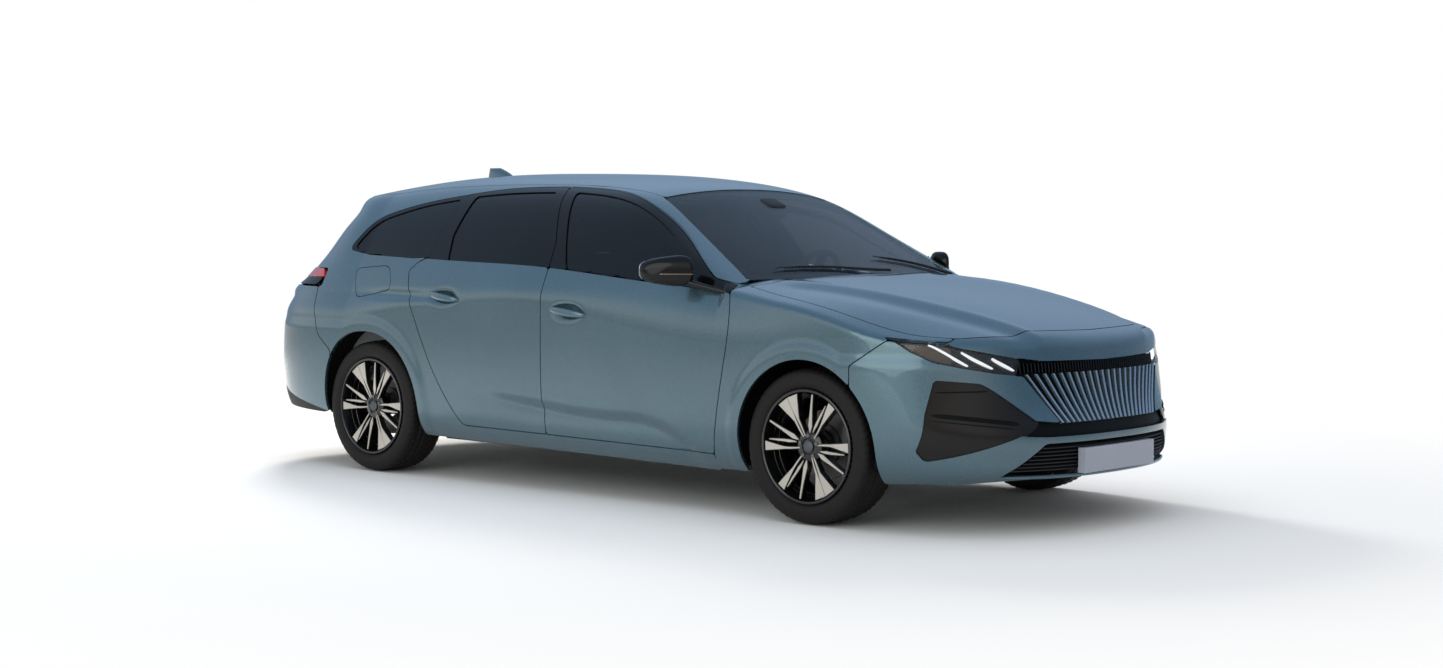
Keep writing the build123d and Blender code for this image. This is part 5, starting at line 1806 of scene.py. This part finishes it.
@dataclass
class SmallPieces:
    """Mirrors, door handles, wipers and antenna."""

    mirror_reach: Pair = (886.0, 1030.5)

    def mirror(self, side: Side) -> None:
        """Mirror head, foot, glass and repeater strip.

        Args:
            side: which side.
        """
        t = np.linspace(0, 1, 22)
        y = self.mirror_reach[0] + (self.mirror_reach[1] - self.mirror_reach[0]) * t
        blunt = np.sqrt(np.maximum(1 - np.abs(2 * t - 1) ** 5, 0.004))
        centre = stack(766 - 132 * t ** 1.35, -y, 1012 - 2 * t)
        half = np.stack([(62 - 22 * t) * blunt, (68 - 27 * t ** 2) * blunt], 1)
        head = loft(centre, half, (0, 2, 1), 3.2)
        body = f"front_door_{side.word}"
        piece(f"mirror_shell_{side.word}", head.on(side), PIANO,
              Make(body, hides=(f"mirror_{side.word}",), smooth=60))
        u = np.linspace(0, 1, 12)
        foot_centre = stack(962 - 196 * u, -(858 + 44 * u ** 0.7), 925 + 42 * u)
        foot = loft(foot_centre, np.stack([6 + 16 * u, 9 + 7 * u], 1), (1, 2, 0), 2.8)
        piece(f"mirror_foot_{side.word}", foot.on(side), PIANO, Make(body, smooth=60))
        v = np.linspace(0.08, 0.9, 16)
        c, s = superellipse(40, 3.2)
        rim = stack(0 * c, -(958 + 56 * c), 1011 + 44 * s)
        rim[:, 0] = 652 + 0.86 * (rim[:, 1] + 958)
        ring = np.stack([rim, rim + [2.5, 0, 0]], 0)
        piece(f"mirror_glass_{side.word}", Shape.tube(ring).on(side), MIRROR, Make(body, edge=0.8))
        strip_y = 900 + 112 * v
        share = (strip_y - 886) / 144.5
        strip = stack(766 - 132 * share ** 1.35 + 61 - 22 * share, -strip_y, 998 + 0 * v)
        half_strip = np.stack([np.full(16, 1.8), np.full(16, 2.6)], 1)
        piece(f"mirror_repeater_{side.word}", loft(strip, half_strip, (0, 2, 1), 2.0, 12).on(side),
              AMBER, Make(body, smooth=60))

    def handle(self, side: Side, which: str, x: Pair, z: Pair) -> None:
        """A door handle: a bowed bar whose ends sink into the door skin.

        Args:
            side: which side.
            which: which door.
            x: rear and front end.
            z: heights there.
        """
        t = np.linspace(0, 1, 26)
        px, pz = x[0] + (x[1] - x[0]) * t, z[0] + (z[1] - z[0]) * t
        bow = 30 * np.sin(np.pi * t) ** 0.42 - 4
        centre = stack(px, side_skin(stack(px, 0.0, pz), FORM.body) - bow, pz)
        taper = np.sin(np.pi * np.clip(t, 0.03, 0.97)) ** 0.35
        half = np.stack([7.5 * taper, 16.5 * taper], 1)
        body = f"{which}_door_{side.word}"
        piece(f"handle_{which}_{side.word}", loft(centre, half, (1, 2, 0), 2.6, 24).on(side),
              LACQUER, Make(body, smooth=60))

    def wipers(self) -> None:
        """Two wiper arms with blades that lie along the foot of the windscreen."""
        runs = (((1108, 55), (966, -563)), ((1022, 636), (971, 109)))
        shapes = []
        t = np.linspace(0, 1, 24)
        for (x0, y0), (x1, y1) in runs:
            for lift, half_width, half_height, part in ((9, 5, 4, t), (4, 8, 3, t * 0.92)):
                start = stack(x0 + (x1 - x0) * part, y0 + (y1 - y0) * part, 700.0)
                skin = cast(FORM.body, start, stack(0 * t, 0 * t, 1.0), 700.0)
                centre = skin + [0, 0, lift]
                size = np.stack([np.full(24, half_width), np.full(24, half_height)], 1)
                shapes.append(loft(centre, size * (1 - 0.5 * t[:, None] ** 3), (0, 2, 1), 2.4, 12))
        piece("wiper_arms", combined(shapes), PLASTIC, Make("body", hides=("wipers",)))

    def antenna(self) -> None:
        """Fin antenna: sections that narrow upwards with a raked front edge."""
        t = np.linspace(0, 1, 16)
        z = 1432 + 53.5 * t
        front = -1262 - 100 * t ** 1.6
        rear = -1448 + 8 * t
        half_x = (front - rear) / 2
        centre = stack((front + rear) / 2, 0.0, z)
        half = np.stack([np.maximum(half_x, 2), 19 * (1 - t ** 1.5) ** 0.7 + 2.5], 1)
        piece("antenna_fin", loft(centre, half, (0, 1, 2), 2.3, 40), LACQUER,
              Make("body", hides=("roof_antenna",), smooth=60))

    def build(self) -> None:
        """Make all of them."""
        for side in Side:
            self.mirror(side)
            self.handle(side, "rear", (-872, -662), (874, 850))
            self.handle(side, "front", (-50, 176), (829, 805))
        self.wipers()
        self.antenna()


# ---------------- cabin


def pillow(name: str, shape: Shape, finish: Finish, make: Make, cap: float = 24.0) -> bpy.types.Object:
    """A stuffed piece: remeshed, swollen by cloth pressure, and held within a cap.

    Args:
        name: the piece's name.
        shape: the closed form before it is stuffed.
        finish: its cover.
        make: body and CAD nodes.
        cap: the furthest that a point moves, in millimetres.

    Returns:
        The object.
    """
    made = piece(name, shape, finish, make)
    made.modifiers.clear()
    remesh = made.modifiers.new("even", "REMESH")
    remesh.mode, remesh.voxel_size = "VOXEL", 12 * MM
    remesh.use_smooth_shade = True
    settle(made)
    before = np.empty(len(made.data.vertices) * 3)
    made.data.vertices.foreach_get("co", before)
    cloth = made.modifiers.new("stuffing", "CLOTH")
    cloth.settings.use_pressure = True
    cloth.settings.uniform_pressure_force = 4.0
    cloth.settings.effector_weights.gravity = 0.0
    for frame_number in range(1, 21):
        bpy.context.scene.frame_set(frame_number)
    settle(made)
    after = np.empty(len(before))
    made.data.vertices.foreach_get("co", after)
    move = (after - before).reshape(-1, 3)
    far = np.linalg.norm(move, axis=1, keepdims=True)
    move *= np.minimum(1, cap * MM / np.maximum(far, 1e-9))
    made.data.vertices.foreach_set("co", (before.reshape(-1, 3) + move).ravel())
    bpy.context.scene.frame_set(1)
    return made


def settle(made: bpy.types.Object) -> None:
    """Apply every modifier of an object by taking its evaluated mesh.

    Args:
        made: the object.
    """
    bpy.context.view_layer.update()
    graph = bpy.context.evaluated_depsgraph_get()
    mesh = bpy.data.meshes.new_from_object(made.evaluated_get(graph))
    made.modifiers.clear()
    made.data = mesh
    mesh.polygons.foreach_set("use_smooth", np.ones(len(mesh.polygons), bool))
    mesh.update()


@dataclass
class Seats:
    """Front seats and rear bench with their headrests."""

    front_y: float = 380.0

    def slab(self, along: Array, half: Array, power: float = 3.4, count: int = 48) -> Shape:
        """Upright-section body through points of the XZ plane, widths in Y.

        Args:
            along: centres, shape (sections, 3).
            half: half thickness and half width at each, shape (sections, 2).
            power: the sections' superellipse power.
            count: points of a section.

        Returns:
            The closed shape, whose sections stand square to the path.
        """
        way = np.gradient(along, axis=0)
        way /= np.linalg.norm(way, axis=1, keepdims=True)
        normal = np.stack([-way[:, 2], 0 * way[:, 1], way[:, 0]], 1)
        c, s = superellipse(count, power)
        rings = (along[:, None] + normal[:, None] * (half[:, :1] * c[None])[..., None]
                 + np.array([0, 1.0, 0]) * (half[:, 1:] * s[None])[..., None])
        return Shape.tube(rings)

    def path(self, first: Triple, last: Triple, bow: float, count: int = 15) -> Array:
        """Points from first to last, bowed upwards in the middle.

        Args:
            first: first point.
            last: last point.
            bow: how far the middle is lifted.
            count: how many points.

        Returns:
            Points of shape (count, 3).
        """
        t = np.linspace(0, 1, count)[:, None]
        line = np.array(first) + (np.array(last) - np.array(first)) * t
        line[:, 2] += bow * np.sin(np.pi * t[:, 0])
        return line

    def blunt(self, thick: Pair, wide: Pair) -> Array:
        """Half sizes that go from first to last value and round off at both ends.

        Args:
            thick: half thickness at first and last.
            wide: half width at first and last.

        Returns:
            Half sizes of shape (15, 2).
        """
        t = np.linspace(0, 1, 15)
        end = np.maximum(1 - np.abs(2 * t - 1) ** 7, 0.02) ** 0.5
        return np.stack([(thick[0] + (thick[1] - thick[0]) * t) * end,
                         (wide[0] + (wide[1] - wide[0]) * t) * end ** 0.6], 1)

    def front(self, side: Side) -> None:
        """One front seat.

        Args:
            side: which side.
        """
        y = side.value * self.front_y
        key = side.word
        cushion = self.slab(self.path((-185, y, 292), (268, y, 318), 6),
                            self.blunt((44, 50), (228, 232)))
        hides = ("front_seats",) if side is Side.RIGHT else ()
        pillow(f"seat_cushion_{key}", cushion, CLOTH, Make("body", hides=hides))
        back = self.slab(self.path((-190, y, 380), (-388, y, 958), 0),
                         self.blunt((48, 38), (222, 190)))
        pillow(f"seat_back_{key}", back, CLOTH, Make("body"))
        head = self.slab(self.path((-402, y, 1010), (-440, y, 1150), 0),
                         self.blunt((34, 30), (118, 108)), 2.8)
        pillow(f"seat_headrest_{key}", head, LEATHER, Make("body"), cap=10.0)
        posts = []
        for shift in (-50, 50):
            line = self.path((-392, y + shift, 930), (-412, y + shift, 1040), 0, 6)
            posts.append(self.slab(line, np.full((6, 2), 6.0), 2.0, 12))
        base = self.slab(self.path((-210, y, 232), (250, y, 232), 0, 6),
                         np.tile([13.0, 215.0], (6, 1)), 6.0, 24)
        piece(f"seat_posts_{key}", combined(posts), STEEL, Make("body"))
        piece(f"seat_base_{key}", base, PLASTIC, Make("body", edge=3.0))
        for edge in (-1, 1):
            line = self.path((-206, y + edge * 205, 420), (-352, y + edge * 196, 850), 0)
            bolster = self.slab(line, self.blunt((42, 34), (34, 28)), 2.4)
            pillow(f"seat_bolster_{key}_{'inner' if edge * side.value < 0 else 'outer'}",
                   bolster.moved(30, 0, 10), LEATHER, Make("body"), cap=8.0)

    def rear(self) -> None:
        """The rear bench and its three headrests."""
        cushion = self.slab(self.path((-985, 0, 372), (-585, 0, 392), 6),
                            self.blunt((52, 56), (586, 586)), 5.0, 72)
        pillow("bench_cushion", cushion, CLOTH, Make("body", hides=("rear_seat",)))
        back = self.slab(self.path((-1030, 0, 470), (-1196, 0, 925), 0),
                         self.blunt((46, 38), (586, 560)), 5.0, 72)
        pillow("bench_back", back, CLOTH, Make("body"))
        for number, y in enumerate((-400, 0, 400)):
            head = self.slab(self.path((-1212, y, 975), (-1240, y, 1085), 0),
                             self.blunt((30, 26), (106, 98)), 2.8)
            pillow(f"bench_headrest_{number}", head, LEATHER, Make("body"), cap=8.0)

    def build(self) -> None:
        """Make all seats."""
        for side in Side:
            self.front(side)
        self.rear()


@dataclass
class Lining:
    """Door cards with their arm rests, roof lining and inside mirror."""

    card_depth: float = 50.0
    rest_z: float = 700.0
    rest_width: float = 30.0

    def build(self, panels: SidePanels) -> None:
        """Make the lining of both sides.

        Args:
            panels: the side whose grid is used again.
        """
        p = panels.grid[COARSE]
        x, _, z = xaz(p)
        above = z - BELT(x)
        for which, outline in (("front", FRONT_DOOR), ("rear", REAR_DOOR)):
            rest = np.exp(-(((z - self.rest_z) / 42) ** 4))
            rest = rest * step(-np.abs(outline(p) + 150), -150, -60)
            card = panel(depth_from_side(p, self.card_depth + self.rest_width * rest),
                         outline(p) + 26, above + 6)
            for side in Side:
                piece(f"door_card_{which}_{side.word}", card.on(side), FOIL,
                      Make(f"{which}_door_{side.word}", 5, 1.0))
        t = inset(top_grid((-1690, 330), 640.0, 40.0, FORM.cabin), 24.0, FORM.cabin)
        x, a, _ = xaz(t)
        roof = panel(t, a - 590, -1680 - x, 10 - SCREEN(t))
        piece("roof_lining", roof, FELT, Make("body", 5, 1.0))
        u = np.linspace(-1, 1, 24)
        blunt = np.maximum(1 - np.abs(u) ** 6, 0.01) ** 0.5
        glass = loft(stack(452.0, 128 * u, 1262.0), np.stack([11 * blunt, 34 * blunt], 1),
                     (0, 2, 1), 3.0, 24)
        housing = loft(stack(476 + 44 * u, 0.0, 1296 - 19 * u),
                       np.stack([62 * blunt, 15 * blunt], 1), (1, 2, 0), 3.4, 24)
        piece("mirror_inside", combined([glass, housing]), PLASTIC, Make("body", smooth=60))


@dataclass
class Carried:
    """Finishes of the CAD nodes that stay in view."""

    finishes: dict[str, Finish] = field(default_factory=lambda: {
        "floor_pan": UNDERBODY, "front_subframe": CAST, "engine_block": CAST,
        "rear_axle": CAST, "exhaust": STEEL, "knuckle_left": CAST, "knuckle_right": CAST,
        # The plates' grey is painted shade over a white sheet.
        "number_plates": PLATE_SHEET_SHADED, "dashboard": FOIL, "steering_wheel": LEATHER})

    def build(self) -> None:
        """Give each node its finish."""
        for name, finish in self.finishes.items():
            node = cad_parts[name]
            node.data.materials.clear()
            node.data.materials.append(finish.material())


# ---------------- studio


@dataclass(frozen=True)
class Lamp:
    """A soft flat lamp that faces the middle of the car, in metres and watts."""

    name: str
    place: Triple
    size: Pair
    power: float
    colour: str
    outline: str = "RECTANGLE"
    mirrored: bool = False

    def hang(self) -> None:
        """Add the lamp to the scene, aimed at a point over the ground."""
        data = bpy.data.lights.new(self.name, "AREA")
        data.shape, data.size, data.size_y = self.outline, *self.size
        data.energy, data.color = self.power, linear(self.colour)[:3]
        lamp = bpy.data.objects.new(self.name, data)
        lamp.location = self.place
        aim = Vector((0.0, 0.0, 0.6)) - Vector(self.place)
        lamp.rotation_mode = "QUATERNION"
        lamp.rotation_quaternion = aim.to_track_quat("-Z", "Y")
        lamp.visible_glossy = self.mirrored
        bpy.context.scene.collection.objects.link(lamp)


# A key lamp behind the left shoulder and a wide one overhead shape the car.  The three
# nested ovals beside it make one patch with a soft rim in the lacquer of the flank.
LAMPS = (
    Lamp("key", (-6.5, 3.5, 5.2), (1.8, 1.8), 520, "fffaf2"),
    Lamp("overhead", (-1.0, 0.5, 7.0), (8.0, 6.0), 220, "dfe9f8"),
    *(Lamp(name, (1.6, -9.8, 3.0), (width, width * 0.56), power, "f4fbf2", "ELLIPSE", True)
      for name, width, power in (("haze", 10.5, 210), ("glow", 7.5, 110), ("core", 4.5, 50))))
WHITE = (1.0, 1.0, 1.0, 1.0)


@dataclass
class Studio:
    """World, floor, lamps and camera: a pale floor under wide soft lamps."""

    place: Triple = (6959.0, -7600.0, 1225.0)
    azimuth: float = 41.80
    elevation: float = 2.998
    roll: float = 0.241
    focal: float = 54.38
    ambient: float = 0.74
    floor_radius: float = 60.0
    fade: Pair = (2.9, 5.2)

    def camera(self) -> None:
        """Set the camera, which looks down a little and leans by a quarter of a degree."""
        az, el, roll = map(math.radians, (self.azimuth, self.elevation, self.roll))
        back = np.array([math.sin(az) * math.cos(el), -math.cos(az) * math.cos(el), math.sin(el)])
        right = np.cross(-back, [0, 0, 1])
        right /= np.linalg.norm(right)
        up = np.cross(right, -back)
        matrix = np.eye(4)
        matrix[:3, 0] = right * math.cos(roll) + up * math.sin(roll)
        matrix[:3, 1] = up * math.cos(roll) - right * math.sin(roll)
        matrix[:3, 2] = back
        matrix[:3, 3] = np.array(self.place) * MM
        data = bpy.data.cameras.new("camera")
        data.lens, data.sensor_width, data.clip_end = self.focal, 36.0, 200.0
        camera = bpy.data.objects.new("camera", data)
        camera.matrix_world = Matrix(matrix.tolist())
        bpy.context.scene.collection.objects.link(camera)
        bpy.context.scene.camera = camera

    def seen_directly(self, tree: Tree) -> Socket:
        """Socket that is 1 where the camera looks, also through glass.

        Args:
            tree: the node tree.

        Returns:
            The socket.
        """
        path = added(tree, "LightPath").outputs
        return added(tree, "Math", {0: path["Is Camera Ray"], 1: path["Is Transmission Ray"]},
                     operation="MAXIMUM").outputs[0]

    def world(self) -> None:
        """Make the world.

        The camera sees white, also through glass.  Shiny surfaces mirror a graded sky,
        grey-white low on the near side, grey-blue low on the far side and pale blue above,
        so that the lacquer keeps its colour.  Everything else is lit by an even grey.
        """
        world = bpy.data.worlds.new("studio")
        bpy.context.scene.world = world
        world.use_nodes = True
        tree = world.node_tree
        tree.nodes.clear()
        way = added(tree, "TexCoord").outputs["Generated"]
        axes = added(tree, "SeparateXYZ", {0: way}).outputs
        rise, across, dawn = (
            added(tree, "MapRange", {0: axes[axis], 1: low, 2: high},
                  interpolation_type="SMOOTHSTEP").outputs[0]
            for axis, low, high in (("Z", 0.10, 0.55), ("Y", -0.5, 0.3), ("Z", -0.03, 0.12)))
        sky = linear("a4aaa8")
        for share, colour in ((dawn, WHITE), (across, linear("7f97b0")), (rise, linear("a9c3e2"))):
            sky = added(tree, "Mix", {0: share, 6: sky, 7: colour}, data_type="RGBA").outputs[2]
        plain, mirrored, white = (
            added(tree, "Background", {"Color": colour, "Strength": strength}).outputs[0]
            for colour, strength in ((linear("e9ebee"), self.ambient), (sky, 1.0),
                                     (WHITE, 1.0)))
        glossy = added(tree, "LightPath").outputs["Is Glossy Ray"]
        lit = added(tree, "MixShader", {0: glossy, 1: plain, 2: mirrored}).outputs[0]
        both = added(tree, "MixShader", {0: self.seen_directly(tree), 1: lit, 2: white})
        added(tree, "OutputWorld", {"Surface": both.outputs[0]})

    def floor(self) -> None:
        """Make the floor, matt and pale near the car and white to the camera far from it."""
        turn = np.linspace(0, 2 * np.pi, 64, endpoint=False)
        rim = self.floor_radius * np.stack([np.cos(turn), np.sin(turn), 0 * turn], -1)
        mesh = bpy.data.meshes.new("floor")
        mesh.from_pydata(rim.tolist(), [], [tuple(range(64))])
        material = bpy.data.materials.new("floor_matt_pale")
        material.use_nodes = True
        tree = material.node_tree
        tree.nodes.clear()
        matt = added(tree, "BsdfDiffuse", {"Color": linear("f2f2f2")})
        place = added(tree, "TexCoord").outputs["Object"]
        far = added(tree, "VectorMath", {0: place}, operation="LENGTH").outputs["Value"]
        fade = added(tree, "MapRange", {0: far, 1: self.fade[0], 2: self.fade[1]},
                     interpolation_type="SMOOTHSTEP").outputs[0]
        bright = added(tree, "Emission", {"Color": WHITE, "Strength": 1.0})
        seen = added(tree, "Math", {0: self.seen_directly(tree), 1: fade},
                     operation="MULTIPLY").outputs[0]
        both = added(tree, "MixShader", {0: seen, 1: matt.outputs[0], 2: bright.outputs[0]})
        added(tree, "OutputMaterial", {"Surface": both.outputs[0]})
        mesh.materials.append(material)
        ground = bpy.data.objects.new("floor", mesh)
        bpy.context.scene.collection.objects.link(ground)

    def build(self) -> None:
        """Make the world, the floor, the lamps and the camera."""
        bpy.context.scene.view_settings.view_transform = "Standard"
        self.world()
        self.floor()
        for lamp in LAMPS:
            lamp.hang()
        self.camera()


def main() -> None:
    """Build the car and the studio."""
    logging.basicConfig(level=logging.INFO, format="%(message)s")
    sides = SidePanels()
    for side in Side:
        sides.build(side)
    FrontFenders().build()
    TopPanels().build()
    FrontEnd().build()
    RearEnd().build()
    for x, word in ((FORM.front_axle, "front"), (FORM.rear_axle, "rear")):
        for side in Side:
            Wheel(x, word).build(side)
    SmallPieces().build()
    ArchLiners().build()
    EngineBay().build()
    Doorways().build(sides)
    Luggage().build(sides)
    Lining().build(sides)
    Seats().build()
    Carried().build()
    Studio().build()


if __name__ == "__main__":
    main()
